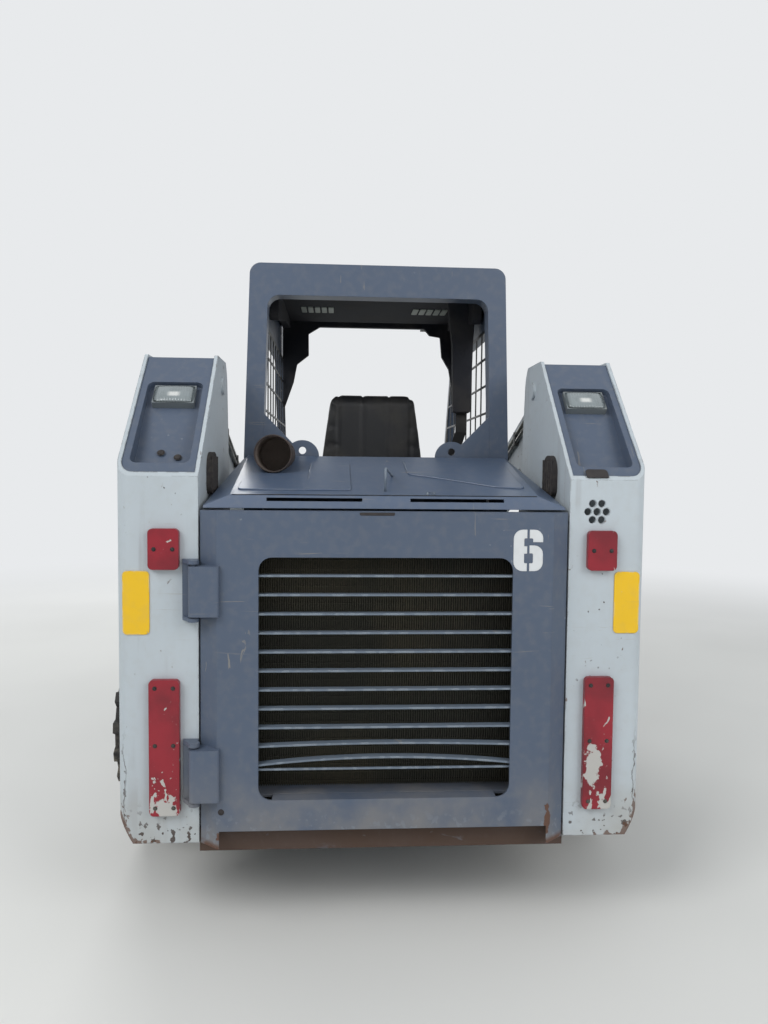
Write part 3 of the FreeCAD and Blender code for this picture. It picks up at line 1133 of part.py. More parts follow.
def quick_hitch():
    """The hitch plate with its hinge ears and pins, and notches where the tilt rods go through."""
    rear, front = HITCH_PLATE_X
    low, high = HITCH_PLATE_Z
    hx, hz = HITCH_PIN
    tx, tz = TILT_EYE
    notch = TILT_HALF + 2
    plate = block((rear, front), (-HITCH_HALF, HITCH_HALF), (low, high))
    for side in (-1, 1):
        y = side * TILT_Y
        plate = plate.cut(block((rear - 1, front + 1), (y - notch, y + notch), (hz + 40, high + 1)))
    shapes = [plate]
    hinge_ear = ((rear + 2, hz - 90), (hx - 20, hz - 44, 40), (hx - 42, hz, 30), (hx - 20, hz + 60, 40), (rear + 2, hz + 130))
    tilt_ear = ((rear + 2, tz - 90), (tx - 20, tz - 30, 20), (tx - 34, tz, 20), (tx - 24, tz + 34, 20), (rear + 2, tz + 70))
    for side in (-1, 1):
        for y in (LEG_Y[0] - HITCH_EAR_GAP - HITCH_EAR, LEG_Y[1] + HITCH_EAR_GAP):
            near, far = sorted((side * y, side * (y + HITCH_EAR)))
            shapes.append(slab(XZ, hinge_ear, near, far))
        for y, boss in ((TILT_Y - notch - TILT_EAR, -BOSS_PROUD), (TILT_Y + notch, TILT_EAR)):
            near, far = sorted((side * y, side * (y + TILT_EAR)))
            shapes.append(slab(XZ, tilt_ear, near, far))
            near, far = sorted((side * (y + boss), side * (y + boss + BOSS_PROUD)))
            shapes.append(rod_y(TILT_EYE, TILT_BOSS_R, near, far))
        ends = HITCH_EAR_GAP + HITCH_EAR
        near, far = sorted((side * (LEG_Y[0] - ends), side * (LEG_Y[1] + ends)))
        shapes.append(rod_y(HITCH_PIN, HITCH_PIN_R, near, far))
    return fused(shapes)


def bucket():
    """The bucket: a rolled shell, two side plates, a top rib and the hitch adapter."""
    t = BUCKET_SHEET
    heel, floor, r = BUCKET_HEEL_X, BUCKET_FLOOR_Z, BUCKET_HEEL_R
    top_x, top_z = BUCKET_TOP
    shell = ((BUCKET_LIP_X, floor), (heel, floor, r), (top_x, top_z), (top_x + t, top_z),
             (heel + t, floor + t, r - t), (BUCKET_LIP_X, floor + t))
    shapes = [slab(XZ, shell, -BUCKET_HALF, BUCKET_HALF)]
    cheek = ((BUCKET_LIP_X - 30, floor), (heel, floor, r), (top_x, top_z), (top_x + 120, top_z, 30),
             (BUCKET_LIP_X - 90, floor + 90, 60))
    for side in (-1, 1):
        low, high = sorted((side * (BUCKET_HALF - t), side * BUCKET_HALF))
        shapes.append(slab(XZ, cheek, low, high))
    rib_x, rib_z = BUCKET_RIB
    rib = ((top_x, top_z - rib_z), (top_x + rib_x, top_z - 12), (top_x + rib_x, top_z), (top_x, top_z))
    shapes.append(slab(XZ, rib, -BUCKET_HALF, BUCKET_HALF))
    back = HITCH_PLATE_X[1] + CONTACT_GAP
    low, high = HITCH_PLATE_Z
    adapter = ((back, low + 10), (top_x + 36, low + 10), (top_x + 9, high), (back, high))
    for side in (-1, 1):
        near, far = sorted((side * (TILT_Y + TILT_HALF + 25), side * (HITCH_HALF - 20)))
        shapes.append(slab(XZ, adapter, near, far))
    shapes.append(slab(XZ, adapter, -BUCKET_MIDDLE_HALF, BUCKET_MIDDLE_HALF))
    return fused(shapes)


def cutting_edge():
    """The wear plate bolted under the bucket's lip, its front ground to a slope."""
    front = BUCKET_LIP_X + EDGE_PROUD
    high = BUCKET_FLOOR_Z - CONTACT_GAP
    low = high - EDGE_THICK
    bevel, nose = EDGE_BEVEL
    corners = ((front - EDGE_DEPTH, low), (front, low), (front, low + nose), (front - bevel, high),
               (front - EDGE_DEPTH, high))
    plate = slab(XZ, corners, -BUCKET_HALF, BUCKET_HALF)
    for n in range(EDGE_BOLTS):
        y = (n - (EDGE_BOLTS - 1) / 2) * EDGE_BOLT_PITCH
        base = FreeCAD.Vector(front - EDGE_BOLT_INSET, y, low - OVERRUN)
        plate = plate.cut(Part.makeCylinder(EDGE_BOLT_R, EDGE_THICK + 2 * OVERRUN, base))
    return plate


def main():
    os.makedirs("parts", exist_ok=True)
    keep("main_frame", main_frame())
    keep("cab_floor", cab_floor())
    keep("bulkhead", bulkhead())
    keep("fenders", pair(fender()))
    keep("radiator", radiator())
    keep("engine", engine())
    keep("tower_left", tower(False))
    keep("tower_right", mirrored(tower(True)))
    keep("lamp_troughs", pair(lamp_trough()))
    keep("rear_lamps", rear_lamps())
    keep("marker_pads", pads(PAD_Y, PADS_Z, PAD_THICK))
    keep("blank_plates", pads(BLANK_PLATE_Y, (BLANK_PLATE_Z,), BLANK_PLATE_THICK))
    keep("hose_boots", hose_boots())
    keep("rear_door", rear_door())
    keep("door_grille", door_grille())
    keep("door_hinge_lugs", door_hinge_lugs())
    keep("hood", hood())
    keep("exhaust_pipe", exhaust_pipe())
    keep("canopy_frame", canopy_frame())
    keep("canopy_roof", canopy_roof())
    keep("side_screens", side_screens())
    keep("seat_base", seat_base())
    keep("seat_cushion", seat_cushion())
    keep("seat_back", seat_back())
    keep("consoles", consoles())
    keep("joysticks", joysticks())
    keep("lap_bar", lap_bar())
    keep("work_lamps", work_lamps())
    left = track()
    keep("track_left", left)
    keep("track_right", mirrored(left))
    keep("track_frames", pair(track_frame()))
    keep("sprockets", pair(sprocket()))
    keep("final_drives", pair(final_drive()))
    keep("idlers", pair(wheel(*IDLER, IDLER_AXLE_R)))
    left = rollers()
    keep("rollers", Part.makeCompound(left + [mirrored(roller) for roller in left]))
    left = boom_arm()
    keep("boom_arm_left", left)
    keep("boom_arm_right", mirrored(left))
    keep("cross_tube", cross_tube())
    barrel, rod = lift_cylinder()
    keep("lift_barrels", pair(barrel))
    keep("lift_rods", pair(rod))
    barrel, rod = tilt_cylinder()
    keep("tilt_barrels", pair(barrel))
    keep("tilt_rods", pair(rod))
    keep("quick_hitch", quick_hitch())
    keep("bucket", bucket())
    keep("cutting_edge", cutting_edge())


main()
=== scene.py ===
"""The looks of a compact track loader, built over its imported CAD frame. Metres throughout."""

import math

import bmesh
import bpy
from mathutils import Matrix, Vector


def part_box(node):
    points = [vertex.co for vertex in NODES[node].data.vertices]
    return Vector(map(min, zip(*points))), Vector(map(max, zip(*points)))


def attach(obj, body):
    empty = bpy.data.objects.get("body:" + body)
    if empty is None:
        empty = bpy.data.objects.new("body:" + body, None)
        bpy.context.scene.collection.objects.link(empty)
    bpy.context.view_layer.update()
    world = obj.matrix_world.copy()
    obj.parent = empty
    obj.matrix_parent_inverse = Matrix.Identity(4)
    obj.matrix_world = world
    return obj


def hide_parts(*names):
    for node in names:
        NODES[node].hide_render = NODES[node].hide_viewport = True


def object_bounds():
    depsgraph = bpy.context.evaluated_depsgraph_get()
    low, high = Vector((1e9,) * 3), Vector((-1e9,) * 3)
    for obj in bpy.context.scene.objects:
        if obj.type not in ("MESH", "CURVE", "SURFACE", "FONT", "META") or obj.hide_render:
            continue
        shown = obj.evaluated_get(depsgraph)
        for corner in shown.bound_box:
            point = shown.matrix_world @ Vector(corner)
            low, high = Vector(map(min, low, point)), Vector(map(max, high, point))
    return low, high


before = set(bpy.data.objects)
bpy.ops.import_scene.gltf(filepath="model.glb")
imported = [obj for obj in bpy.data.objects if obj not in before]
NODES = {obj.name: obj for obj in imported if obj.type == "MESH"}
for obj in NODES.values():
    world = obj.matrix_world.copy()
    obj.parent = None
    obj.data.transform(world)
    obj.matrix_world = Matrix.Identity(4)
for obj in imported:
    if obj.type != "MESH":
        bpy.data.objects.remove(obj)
cad_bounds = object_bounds()

XZ, YZ, XY = "xz", "yz", "xy"
SKIN = 0.0004          # what lies on a surface stands this far off it
ARC_STEP = math.radians(15)


# Measuring the frame

def box(node):
    """A node's lowest and highest corners."""
    low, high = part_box(node)
    return Vector(low), Vector(high)


def solids(node):
    """The boxes of a node's separate solids, lowest y first, then lowest z."""
    shape = bmesh.new()
    shape.from_mesh(NODES[node].data)
    bmesh.ops.remove_doubles(shape, verts=shape.verts, dist=1e-5)
    waiting, found = set(shape.verts), []
    while waiting:
        reached = [waiting.pop()]
        for vert in reached:
            for edge in vert.link_edges:
                other = edge.other_vert(vert)
                if other in waiting:
                    waiting.remove(other)
                    reached.append(other)
        spots = [vert.co for vert in reached]
        found.append(tuple(Vector(pick(spot[i] for spot in spots) for i in range(3)) for pick in (min, max)))
    shape.free()
    return sorted(found, key=lambda ends: (round(ends[0].y, 3), ends[0].z))


# Camera

VIEW_FROM = Vector((-4.092, 0.145, 1.45))
VIEW_DOWN, VIEW_RIGHT, VIEW_ROLL = (math.radians(a) for a in (3.07, 3.42, 0.56))
VIEW_LENS = 26.55


def set_camera():
    """The photograph's view, from behind at head height."""
    ahead = Vector((math.cos(VIEW_RIGHT) * math.cos(VIEW_DOWN), -math.sin(VIEW_RIGHT) * math.cos(VIEW_DOWN), -math.sin(VIEW_DOWN)))
    right = ahead.cross(Vector((0, 0, 1))).normalized()
    up = right.cross(ahead)
    c, s = math.cos(VIEW_ROLL), math.sin(VIEW_ROLL)
    right, up = c * right + s * up, c * up - s * right
    data = bpy.data.cameras.new("camera")
    data.lens = VIEW_LENS
    camera = bpy.data.objects.new("camera", data)
    camera.matrix_world = Matrix.Translation(VIEW_FROM) @ Matrix((right, up, -ahead)).transposed().to_4x4()
    bpy.context.collection.objects.link(camera)
    bpy.context.scene.camera = camera


# Materials

def srgb(r, g, b):
    """A colour from its 0 to 255 values on a screen."""
    def linear(v):
        v /= 255
        return v / 12.92 if v <= 0.04045 else ((v + 0.055) / 1.055) ** 2.4
    return (linear(r), linear(g), linear(b), 1.0)


class Wire:
    """One output of a shader node. Arithmetic on it adds Math nodes."""

    def __init__(self, finish, socket):
        self.finish, self.socket = finish, socket

    def maths(self, operation, first, second=0.0):
        return self.finish.node("ShaderNodeMath", {"operation": operation}, {0: first, 1: second})

    def __add__(self, other):
        return self.maths("ADD", self, other)

    __radd__ = __add__

    def __mul__(self, other):
        return self.maths("MULTIPLY", self, other)

    __rmul__ = __mul__

    def __sub__(self, other):
        return self.maths("SUBTRACT", self, other)

    def __rsub__(self, other):
        return self.maths("SUBTRACT", other, self)

    def least(self, other):
        return self.maths("MINIMUM", self, other)

    def most(self, other):
        return self.maths("MAXIMUM", self, other)

    def between(self, low, high):
        """0 below low, 1 above high, smooth between."""
        return self.finish.node("ShaderNodeMapRange", {"interpolation_type": "SMOOTHSTEP"},
                                {"Value": self, "From Min": low, "From Max": high})


class Nodes:
    """A shader tree under construction. All its nodes come from one method."""

    def __init__(self, tree):
        self.tree = tree
        tree.nodes.clear()

    def node(self, kind, settings=None, inputs=None, out=0):
        """Add a node. Its settings come first, then the values or wires of its sockets."""
        node = self.tree.nodes.new(kind)
        for name, value in (settings or {}).items():
            setattr(node, name, value)
        for name, value in (inputs or {}).items():
            if isinstance(value, Wire):
                self.tree.links.new(value.socket, node.inputs[name])
            else:
                node.inputs[name].default_value = value
        return Wire(self, node.outputs[out]) if node.outputs else None


class Finish(Nodes):
    """A material under construction."""

    def __init__(self, name):
        self.material = bpy.data.materials.new(name)
        self.material.use_nodes = True
        super().__init__(self.material.node_tree)

    def place(self, stretch=(1, 1, 1)):
        """Object coordinates, each axis multiplied."""
        spot = self.node("ShaderNodeTexCoord", out="Object")
        if stretch == (1, 1, 1):
            return spot
        return self.node("ShaderNodeMapping", None, {"Vector": spot, "Scale": stretch})

    def axis(self, name):
        return self.node("ShaderNodeSeparateXYZ", None, {"Vector": self.place()}, out=name)

    def noise(self, scale, detail=3.0, stretch=(1, 1, 1), distortion=0.0):
        return self.node("ShaderNodeTexNoise", None, {"Vector": self.place(stretch), "Scale": scale, "Detail": detail,
                                                      "Distortion": distortion})

    def cells(self, scale, stretch=(1, 1, 1)):
        """How far a spot is from the middle of its random cell."""
        return self.node("ShaderNodeTexVoronoi", None, {"Vector": self.place(stretch), "Scale": scale})

    def patch(self, centre, size, ragged=0.8, grain=28.0):
        """1 inside a ragged patch, 0 outside."""
        away = self.node("ShaderNodeVectorMath", {"operation": "SUBTRACT"}, {0: self.place(), 1: centre})
        away = self.node("ShaderNodeVectorMath", {"operation": "DIVIDE"}, {0: away, 1: size})
        far = self.node("ShaderNodeVectorMath", {"operation": "LENGTH"}, {0: away}, out="Value")
        return 1.0 - (far + (self.noise(grain, 6.0) - 0.5) * (2 * ragged)).between(0.85, 1.0)

    def edge(self, width):
        """About 0.3 on an edge, 0 on a flat."""
        rounded = self.node("ShaderNodeBevel", {"samples": 3}, {"Radius": width})
        plain = self.node("ShaderNodeNewGeometry", out="Normal")
        same = self.node("ShaderNodeVectorMath", {"operation": "DOT_PRODUCT"}, {0: rounded, 1: plain}, out="Value")
        return 1.0 - same

    def mix(self, under, over, share):
        """One colour laid over another."""
        return self.node("ShaderNodeMix", {"data_type": "RGBA"}, {0: share, 6: under, 7: over}, out=2)

    def bump(self, height, distance, strength=1.0, softened=0.0):
        inputs = {"Height": height, "Distance": distance, "Strength": strength}
        if softened:
            inputs["Normal"] = self.node("ShaderNodeBevel", {"samples": 3}, {"Radius": softened})
        return self.node("ShaderNodeBump", None, inputs)

    def shader(self, colour, rough, normal=None, metal=0.0, **plain):
        """The surface's shader. The plain values go straight to its sockets."""
        inputs = {"Base Color": colour, "Roughness": rough, "Metallic": metal}
        if normal is not None:
            inputs["Normal"] = normal
        inputs.update(plain)
        return self.node("ShaderNodeBsdfPrincipled", None, inputs)

    def done(self, *surface, **plain):
        """Close the material with its shader."""
        self.node("ShaderNodeOutputMaterial", None, {"Surface": self.shader(*surface, **plain)})
        return self.material


DUST = srgb(150, 142, 128)
RUST = srgb(92, 62, 45)
DARK_RUST = srgb(58, 42, 34)


def worn_paint(name, colour, chips, under, rough=0.42, dust_z=(0.75, 0.3), streaks=0.0, scratches=0.35, edge_wear=0.0, marks=(),
               shine=0.45):
    """Paint that has faded unevenly, with scratches, chips, dust from below, streaks from above and its own marks."""
    finish = Finish(name)
    tone = finish.noise(1.7, 4.0).between(0.3, 0.7)
    darker = tuple(c * 0.86 for c in colour[:3]) + (1.0,)
    paint = finish.mix(colour, darker, tone * 0.6)
    mottle = finish.noise(38.0, 5.0).between(0.42, 0.75)
    paint = finish.mix(paint, DUST, mottle * 0.08)
    fine = finish.noise(9.0, 6.0, (0.5, 0.6, 9.0), 0.6).between(0.66, 0.71)
    fine = fine * finish.noise(2.3, 2.0).between(0.5, 0.62)
    long = finish.noise(4.0, 4.0, (1.0, 9.0, 1.2), 1.2).between(0.685, 0.70) * finish.noise(3.1, 2.0).between(0.5, 0.6)
    lines = fine.most(long)
    paint = finish.mix(paint, DUST, lines * scratches)
    height = finish.axis("Z")
    low_dust = (1.0 - height.between(dust_z[1], dust_z[0])) * finish.noise(6.0, 6.0).between(0.25, 0.75)
    paint = finish.mix(paint, DUST, low_dust * 0.5)
    if streaks:
        runs = finish.noise(26.0, 3.0, (1, 1, 0.05)).between(0.55, 0.72) * finish.noise(3.0, 3.0).between(0.42, 0.62)
        paint = finish.mix(paint, RUST, runs * streaks)
    chip = finish.cells(30.0) + finish.noise(70.0, 4.0) * 0.5
    spots = 1.0 - chip.between(0.30, 0.34)
    spots = spots * finish.noise(2.6, 3.0).between(0.56, 0.64)
    foot = (1.0 - height.between(dust_z[1] + 0.02, dust_z[1] + 0.14)) * (finish.noise(44.0, 7.0).between(0.59, 0.62))
    bare = (spots * chips).most(foot * chips)
    if edge_wear:
        rim = finish.edge(0.006).between(0.02, 0.1) * finish.noise(24.0, 5.0).between(0.5, 0.56)
        bare = bare.most(rim * edge_wear)
    paint = finish.mix(paint, under, bare)
    for mark, tint, share in marks:
        worn = mark(finish) * share
        paint = finish.mix(paint, tint, worn)
        bare = bare.most(worn)
    gloss = rough + tone * 0.08 + low_dust * 0.3 + bare * 0.3
    relief = finish.noise(240.0, 2.0) * 0.15 - bare
    return finish.done(paint, gloss, finish.bump(relief, 0.0006, 0.6, softened=0.003), **{"Specular IOR Level": shine})


def tail_band(finish):
    """The tub's tail below the door."""
    tail = (1.0 - finish.axis("X").between(-1.725, -1.70)) * (1.0 - finish.axis("Z").between(0.352, 0.372))
    return tail * finish.noise(11.0, 6.0, (1, 1, 2.4), 0.5).between(0.20, 0.34)


def door_foot(finish):
    """The rusty bottom rim of the door and its corners."""
    rim = (1.0 - finish.axis("Z").between(0.312, 0.332)) * finish.noise(15.0, 7.0, (1, 1, 2)).between(0.44, 0.56)
    left = finish.patch((-1.84, -0.503, 0.383), (0.06, 0.009, 0.055), 1.2, 60.0)
    right = finish.patch((-1.84, 0.492, 0.345), (0.06, 0.016, 0.012), 1.1, 60.0)
    return rim.most(left).most(right)


def thin_cracks(finish):
    """Upright cracks in the towers' thick paint, low on the outer side, flaked open in places."""
    across = finish.node("ShaderNodeMath", {"operation": "ABSOLUTE"}, {0: finish.axis("Y")})
    wander = (finish.noise(9.0, 4.0, (1, 1, 1.6)) - 0.5) * 0.05
    line = finish.node("ShaderNodeMath", {"operation": "ABSOLUTE"}, {0: across - 0.790 + wander})
    wide = finish.noise(60.0, 5.0).between(0.52, 0.64) * 0.006
    here = 1.0 - (line - wide).between(0.0006, 0.0022)
    return here * (1.0 - finish.axis("Z").between(0.52, 0.68)) * finish.noise(13.0, 2.0).between(0.40, 0.50)


def tower_foot(finish):
    """Brown stains and lost paint at the towers' rear corners."""
    across = finish.node("ShaderNodeMath", {"operation": "ABSOLUTE"}, {0: finish.axis("Y")})
    outer = across.between(0.735, 0.812) * (1.0 - finish.axis("Z").between(0.34, 0.50))
    rim = (1.0 - finish.axis("Z").between(0.312, 0.345)) * across.between(0.60, 0.78)
    flaked = finish.noise(38.0, 8.0, (1, 1, 0.8), 0.5)
    return (outer * 0.36 + rim * 0.30 + flaked).between(0.70, 0.745)


def peeled_red():
    """Red pads whose colour has worn through towards the foot."""
    finish = Finish("red_pad")
    height = finish.axis("Z")
    tone = finish.noise(7.0, 4.0).between(0.35, 0.7)
    colour = finish.mix(srgb(142, 26, 41), srgb(112, 22, 34), tone)
    worn = finish.noise(26.0, 8.0, (1, 1, 0.7), 0.7) + (1.0 - height.between(0.40, 0.60)) * 0.17
    worn = worn.between(0.665, 0.685)
    fine = finish.noise(90.0, 5.0).between(0.675, 0.70) * (1.0 - height.between(0.46, 0.74))
    white = finish.patch((-1.81, -0.655, 0.545), (0.05, 0.030, 0.062), 1.2, 42.0)
    foot = finish.patch((-1.81, 0.665, 0.425), (0.05, 0.040, 0.036), 1.2, 42.0)
    worn = worn.most(fine).most(white).most(foot)
    colour = finish.mix(colour, srgb(178, 176, 172), worn)
    return finish.done(colour, 0.36 + worn * 0.3, finish.bump(1.0 - worn, 0.0008, 0.7, softened=0.003))


def rusted(name, light, dark, rough=0.8, bore=None):
    """Bare steel gone to rust. A bore is (x, y, z, radius, colour): a paler colour inside a mouth, painted light so the
    deep bore doesn't render dark.
    """
    finish = Finish(name)
    patches = finish.noise(14.0, 7.0, distortion=0.4).between(0.35, 0.68)
    colour = finish.mix(light, dark, patches)
    if bore:
        x, y, z, radius, bore_light = bore
        away = finish.node("ShaderNodeVectorMath", {"operation": "SUBTRACT"}, {0: finish.place(), 1: (x, y, z)})
        away = finish.node("ShaderNodeVectorMath", {"operation": "MULTIPLY"}, {0: away, 1: (0, 1, 1)})
        far = finish.node("ShaderNodeVectorMath", {"operation": "LENGTH"}, {0: away}, out="Value")
        # painted light: the inside of the bore takes the paler colour, so its shaded depth renders lit
        colour = finish.mix(colour, bore_light, (1.0 - far.between(radius, radius + 0.001)) * finish.axis("X").between(x, x + 0.01))
    grit = finish.noise(160.0, 4.0)
    return finish.done(colour, rough + patches * 0.1, finish.bump(grit, 0.0012, 0.8, softened=0.003))


def metal(name, colour, rough, scale=30.0, grime=0.3):
    """Machined or drawn steel with a film of grime."""
    finish = Finish(name)
    film = finish.noise(scale, 5.0).between(0.42, 0.72)
    shade = finish.mix(colour, DARK_RUST, film * grime)
    return finish.done(shade, rough + film * 0.25, finish.bump(finish.noise(210.0, 2.0), 0.0003, 0.4, softened=0.002),
                       1.0 - film * grime)


def dusty_rubber(name, colour, dust, grain=0.5):
    """Rubber with dust in its hollows and on its lower parts."""
    finish = Finish(name)
    clouds = finish.noise(5.0, 7.0).between(0.35, 0.72)
    fine = finish.noise(60.0, 5.0).between(0.35, 0.75)
    shade = finish.mix(colour, DUST, clouds * fine * dust)
    return finish.done(shade, 0.72 + clouds * 0.15, finish.bump(finish.noise(190.0, 4.0), 0.0012, grain, softened=0.003))


def grained(name, colour, rough, grain_scale, depth):
    """Vinyl or moulded plastic with a pebbled grain."""
    finish = Finish(name)
    pebble = finish.cells(grain_scale)
    wear = finish.noise(6.0, 5.0).between(0.45, 0.75)
    shade = finish.mix(colour, DUST, wear * 0.10)
    return finish.done(shade, rough + wear * 0.18, finish.bump(pebble, depth, 0.5))


LAMP_MIDDLE_Y = 0.6905


def clear_lens():
    """A lamp's moulded lens: pale, fluted, with a painted highlight in its middle standing in for the shine of the
    bulb's reflector.
    """
    finish = Finish("lamp_lens_painted_glint")
    across = finish.node("ShaderNodeMath", {"operation": "ABSOLUTE"}, {0: finish.axis("Y")}) - LAMP_MIDDLE_Y
    across = finish.node("ShaderNodeMath", {"operation": "ABSOLUTE"}, {0: across})
    up = finish.node("ShaderNodeMath", {"operation": "ABSOLUTE"}, {0: finish.axis("Z") - LENS_MIDDLE_Z})
    # painted highlight: a near-white spot in the lens's middle for the reflector's shine
    spot = (1.0 - across.between(0.008, 0.026)) * (1.0 - up.between(0.003, 0.011))
    rim = across.between(0.046, 0.060).most(up.between(0.019, 0.027))
    flutes = finish.node("ShaderNodeTexWave", {"bands_direction": "Y", "wave_profile": "SIN"},
                         {"Vector": finish.place(), "Scale": 34.0, "Distortion": 0.0})
    film = finish.noise(30.0, 4.0).between(0.4, 0.75)
    colour = finish.mix(srgb(128, 137, 140), srgb(104, 112, 114), (film * 0.5).most(rim * 0.8))
    # lay the painted highlight over the lens's colour
    colour = finish.mix(colour, srgb(206, 208, 206), spot)
    return finish.done(colour, 0.16 + film * 0.2, finish.bump(flutes, 0.0015, 0.5), **{"Coat Weight": 0.6, "Coat Roughness": 0.05})


LENS_MIDDLE_Z = 1.6995


def cooler_dust():
    """Dark fins with olive dust in them."""
    finish = Finish("cooler_fins")
    band = finish.noise(2.2, 4.0, (1, 1.4, 1)).between(0.38, 0.68)
    colour = finish.mix(srgb(58, 58, 50), srgb(76, 72, 58), band)
    speck = finish.noise(120.0, 4.0).between(0.45, 0.7)
    colour = finish.mix(colour, srgb(38, 38, 34), speck * 0.5)
    return finish.done(colour, 0.7, None, 0.25)


BLUE_GREY = srgb(80, 92, 111)
COOL_WHITE = srgb(184, 193, 199)
BARE_GREY = srgb(124, 131, 140)

MATERIALS = {
    "body_paint": worn_paint("body_paint", BLUE_GREY, 0.5, BARE_GREY, 0.36, (0.75, 0.33), scratches=0.3),
    "hood_paint": worn_paint("hood_paint", srgb(78, 93, 116), 0.4, BARE_GREY, 0.34, (0.2, 0.1), scratches=0.4, shine=0.7),
    "door_paint": worn_paint("door_paint", BLUE_GREY, 0.55, BARE_GREY, 0.40, (0.62, 0.31), scratches=0.5,
                             marks=((door_foot, RUST, 0.9),)),
    "tub_paint": worn_paint("tub_paint", BLUE_GREY, 0.6, BARE_GREY, 0.40, (0.75, 0.33),
                            marks=((tail_band, srgb(76, 58, 47), 0.94),)),
    # the pale grey on this paint's edges is partly real chipping and partly painted highlight, for light catching the
    # slats' and handle's edges
    "slat_paint_lit_edges": worn_paint("slat_paint_lit_edges", srgb(104, 116, 130), 0.6, srgb(150, 160, 168), 0.38, (0.5, 0.3), edge_wear=0.9),
    "tower_paint": worn_paint("tower_paint", COOL_WHITE, 0.9, DARK_RUST, 0.42, (0.60, 0.31), streaks=0.18, edge_wear=0.5,
                              marks=((thin_cracks, DARK_RUST, 0.75), (tower_foot, RUST, 0.8))),
    "black_paint": worn_paint("black_paint", srgb(34, 35, 37), 0.8, srgb(84, 78, 72), 0.38, (0.9, 0.1)),
    "bucket_paint": worn_paint("bucket_paint", srgb(62, 64, 68), 1.0, srgb(126, 112, 98), 0.45, (0.6, 0.0), edge_wear=0.9),
    "red_pad": peeled_red(),
    "yellow_plate": worn_paint("yellow_plate", srgb(236, 190, 30), 0.9, srgb(208, 206, 196), 0.36, (0.5, 0.2), scratches=0.7,
                               edge_wear=0.7),
    # its last colour is painted light inside the pipe's bore, so the mouth doesn't render dark
    "pipe_rust": rusted("pipe_rust", srgb(64, 52, 48), srgb(48, 42, 40), 0.7, (-1.503, 0.370, 1.507, 0.0605, srgb(126, 115, 108))),
    "worn_steel": metal("worn_steel", srgb(150, 144, 134), 0.38, 18.0, 0.6),
    "cast_iron": rusted("cast_iron", srgb(66, 64, 62), srgb(42, 40, 40), 0.6),
    "chrome": metal("chrome", srgb(222, 224, 226), 0.08, 30.0, 0.05),
    "zinc": metal("zinc", srgb(168, 168, 162), 0.34, 60.0, 0.3),
    "track_rubber": dusty_rubber("track_rubber", srgb(40, 39, 38), 0.75),
    "boot_rubber": dusty_rubber("boot_rubber", srgb(40, 36, 37), 0.2, 0.3),
    "vinyl": grained("vinyl", srgb(30, 31, 34), 0.46, 420.0, 0.0006),
    "plastic": grained("plastic", srgb(44, 45, 47), 0.5, 600.0, 0.0004),
    "lining": grained("lining", srgb(28, 30, 38), 0.85, 300.0, 0.0008),
    "vent": grained("vent", srgb(150, 158, 148), 0.5, 500.0, 0.0003),
    "webbing": grained("webbing", srgb(34, 34, 36), 0.75, 500.0, 0.0006),
    "lens": clear_lens(),
    "lamp_case": grained("lamp_case", srgb(112, 119, 122), 0.35, 500.0, 0.0003),
    "fins": cooler_dust(),
    "stencil": worn_paint("stencil", srgb(216, 219, 221), 0.5, BLUE_GREY, 0.5, (0.4, 0.2), scratches=0.2),
}

NODE_FINISH = {
    "main_frame": "tub_paint", "cab_floor": "body_paint", "bulkhead": "body_paint", "fenders": "body_paint",
    "radiator": "fins", "engine": "cast_iron", "tower_left": "tower_paint", "tower_right": "tower_paint",
    "lamp_troughs": "body_paint", "rear_lamps": "lamp_case", "marker_pads": "red_pad", "blank_plates": "yellow_plate",
    "hose_boots": "boot_rubber", "rear_door": "door_paint", "door_grille": "slat_paint_lit_edges",
    "door_hinge_lugs": "body_paint", "hood": "hood_paint", "exhaust_pipe": "pipe_rust",
    "canopy_frame": "body_paint", "canopy_roof": "body_paint", "side_screens": "black_paint",
    "seat_base": "black_paint", "seat_cushion": "vinyl", "seat_back": "vinyl", "consoles": "plastic",
    "joysticks": "plastic", "lap_bar": "black_paint", "work_lamps": "plastic", "track_left": "track_rubber",
    "track_right": "track_rubber", "track_frames": "body_paint", "sprockets": "worn_steel",
    "final_drives": "cast_iron", "idlers": "worn_steel", "rollers": "worn_steel", "boom_arm_left": "tower_paint",
    "boom_arm_right": "tower_paint", "cross_tube": "tower_paint", "lift_barrels": "black_paint",
    "lift_rods": "chrome", "tilt_barrels": "black_paint", "tilt_rods": "chrome", "quick_hitch": "black_paint",
    "bucket": "bucket_paint", "cutting_edge": "worn_steel",
}


def dress_nodes():
    """Give every CAD node its finish."""
    for name, finish in NODE_FINISH.items():
        slots = NODES[name].data.materials
        slots.clear()
        slots.append(MATERIALS[finish])


# Making pieces

def rounded(corners):
    """A 2-D outline through corners (a, b) or (a, b, radius), each rounded by an arc."""
    points = [Vector(c[:2]) for c in corners]
    spots = []
    for i, corner in enumerate(corners):
        here, radius = points[i], corner[2] if len(corner) > 2 else 0.0
        back = (points[i - 1] - here).normalized()
        ahead = (points[(i + 1) % len(points)] - here).normalized()
        if not radius:
            spots.append(here)
            continue
        half = back.angle(ahead) / 2
        centre = here + (back + ahead).normalized() * radius / math.sin(half)
        start, end = here + back * radius / math.tan(half) - centre, here + ahead * radius / math.tan(half) - centre
        turn = start.angle_signed(end)
        steps = max(2, round(abs(turn) / ARC_STEP))
        for n in range(steps + 1):
            angle = turn * n / steps
            spots.append(centre + Matrix.Rotation(-angle, 2) @ start)
    return spots


def spot_on(plane, a, b, level):
    return Vector({XZ: (a, level, b), YZ: (level, a, b), XY: (a, b, level)}[plane])


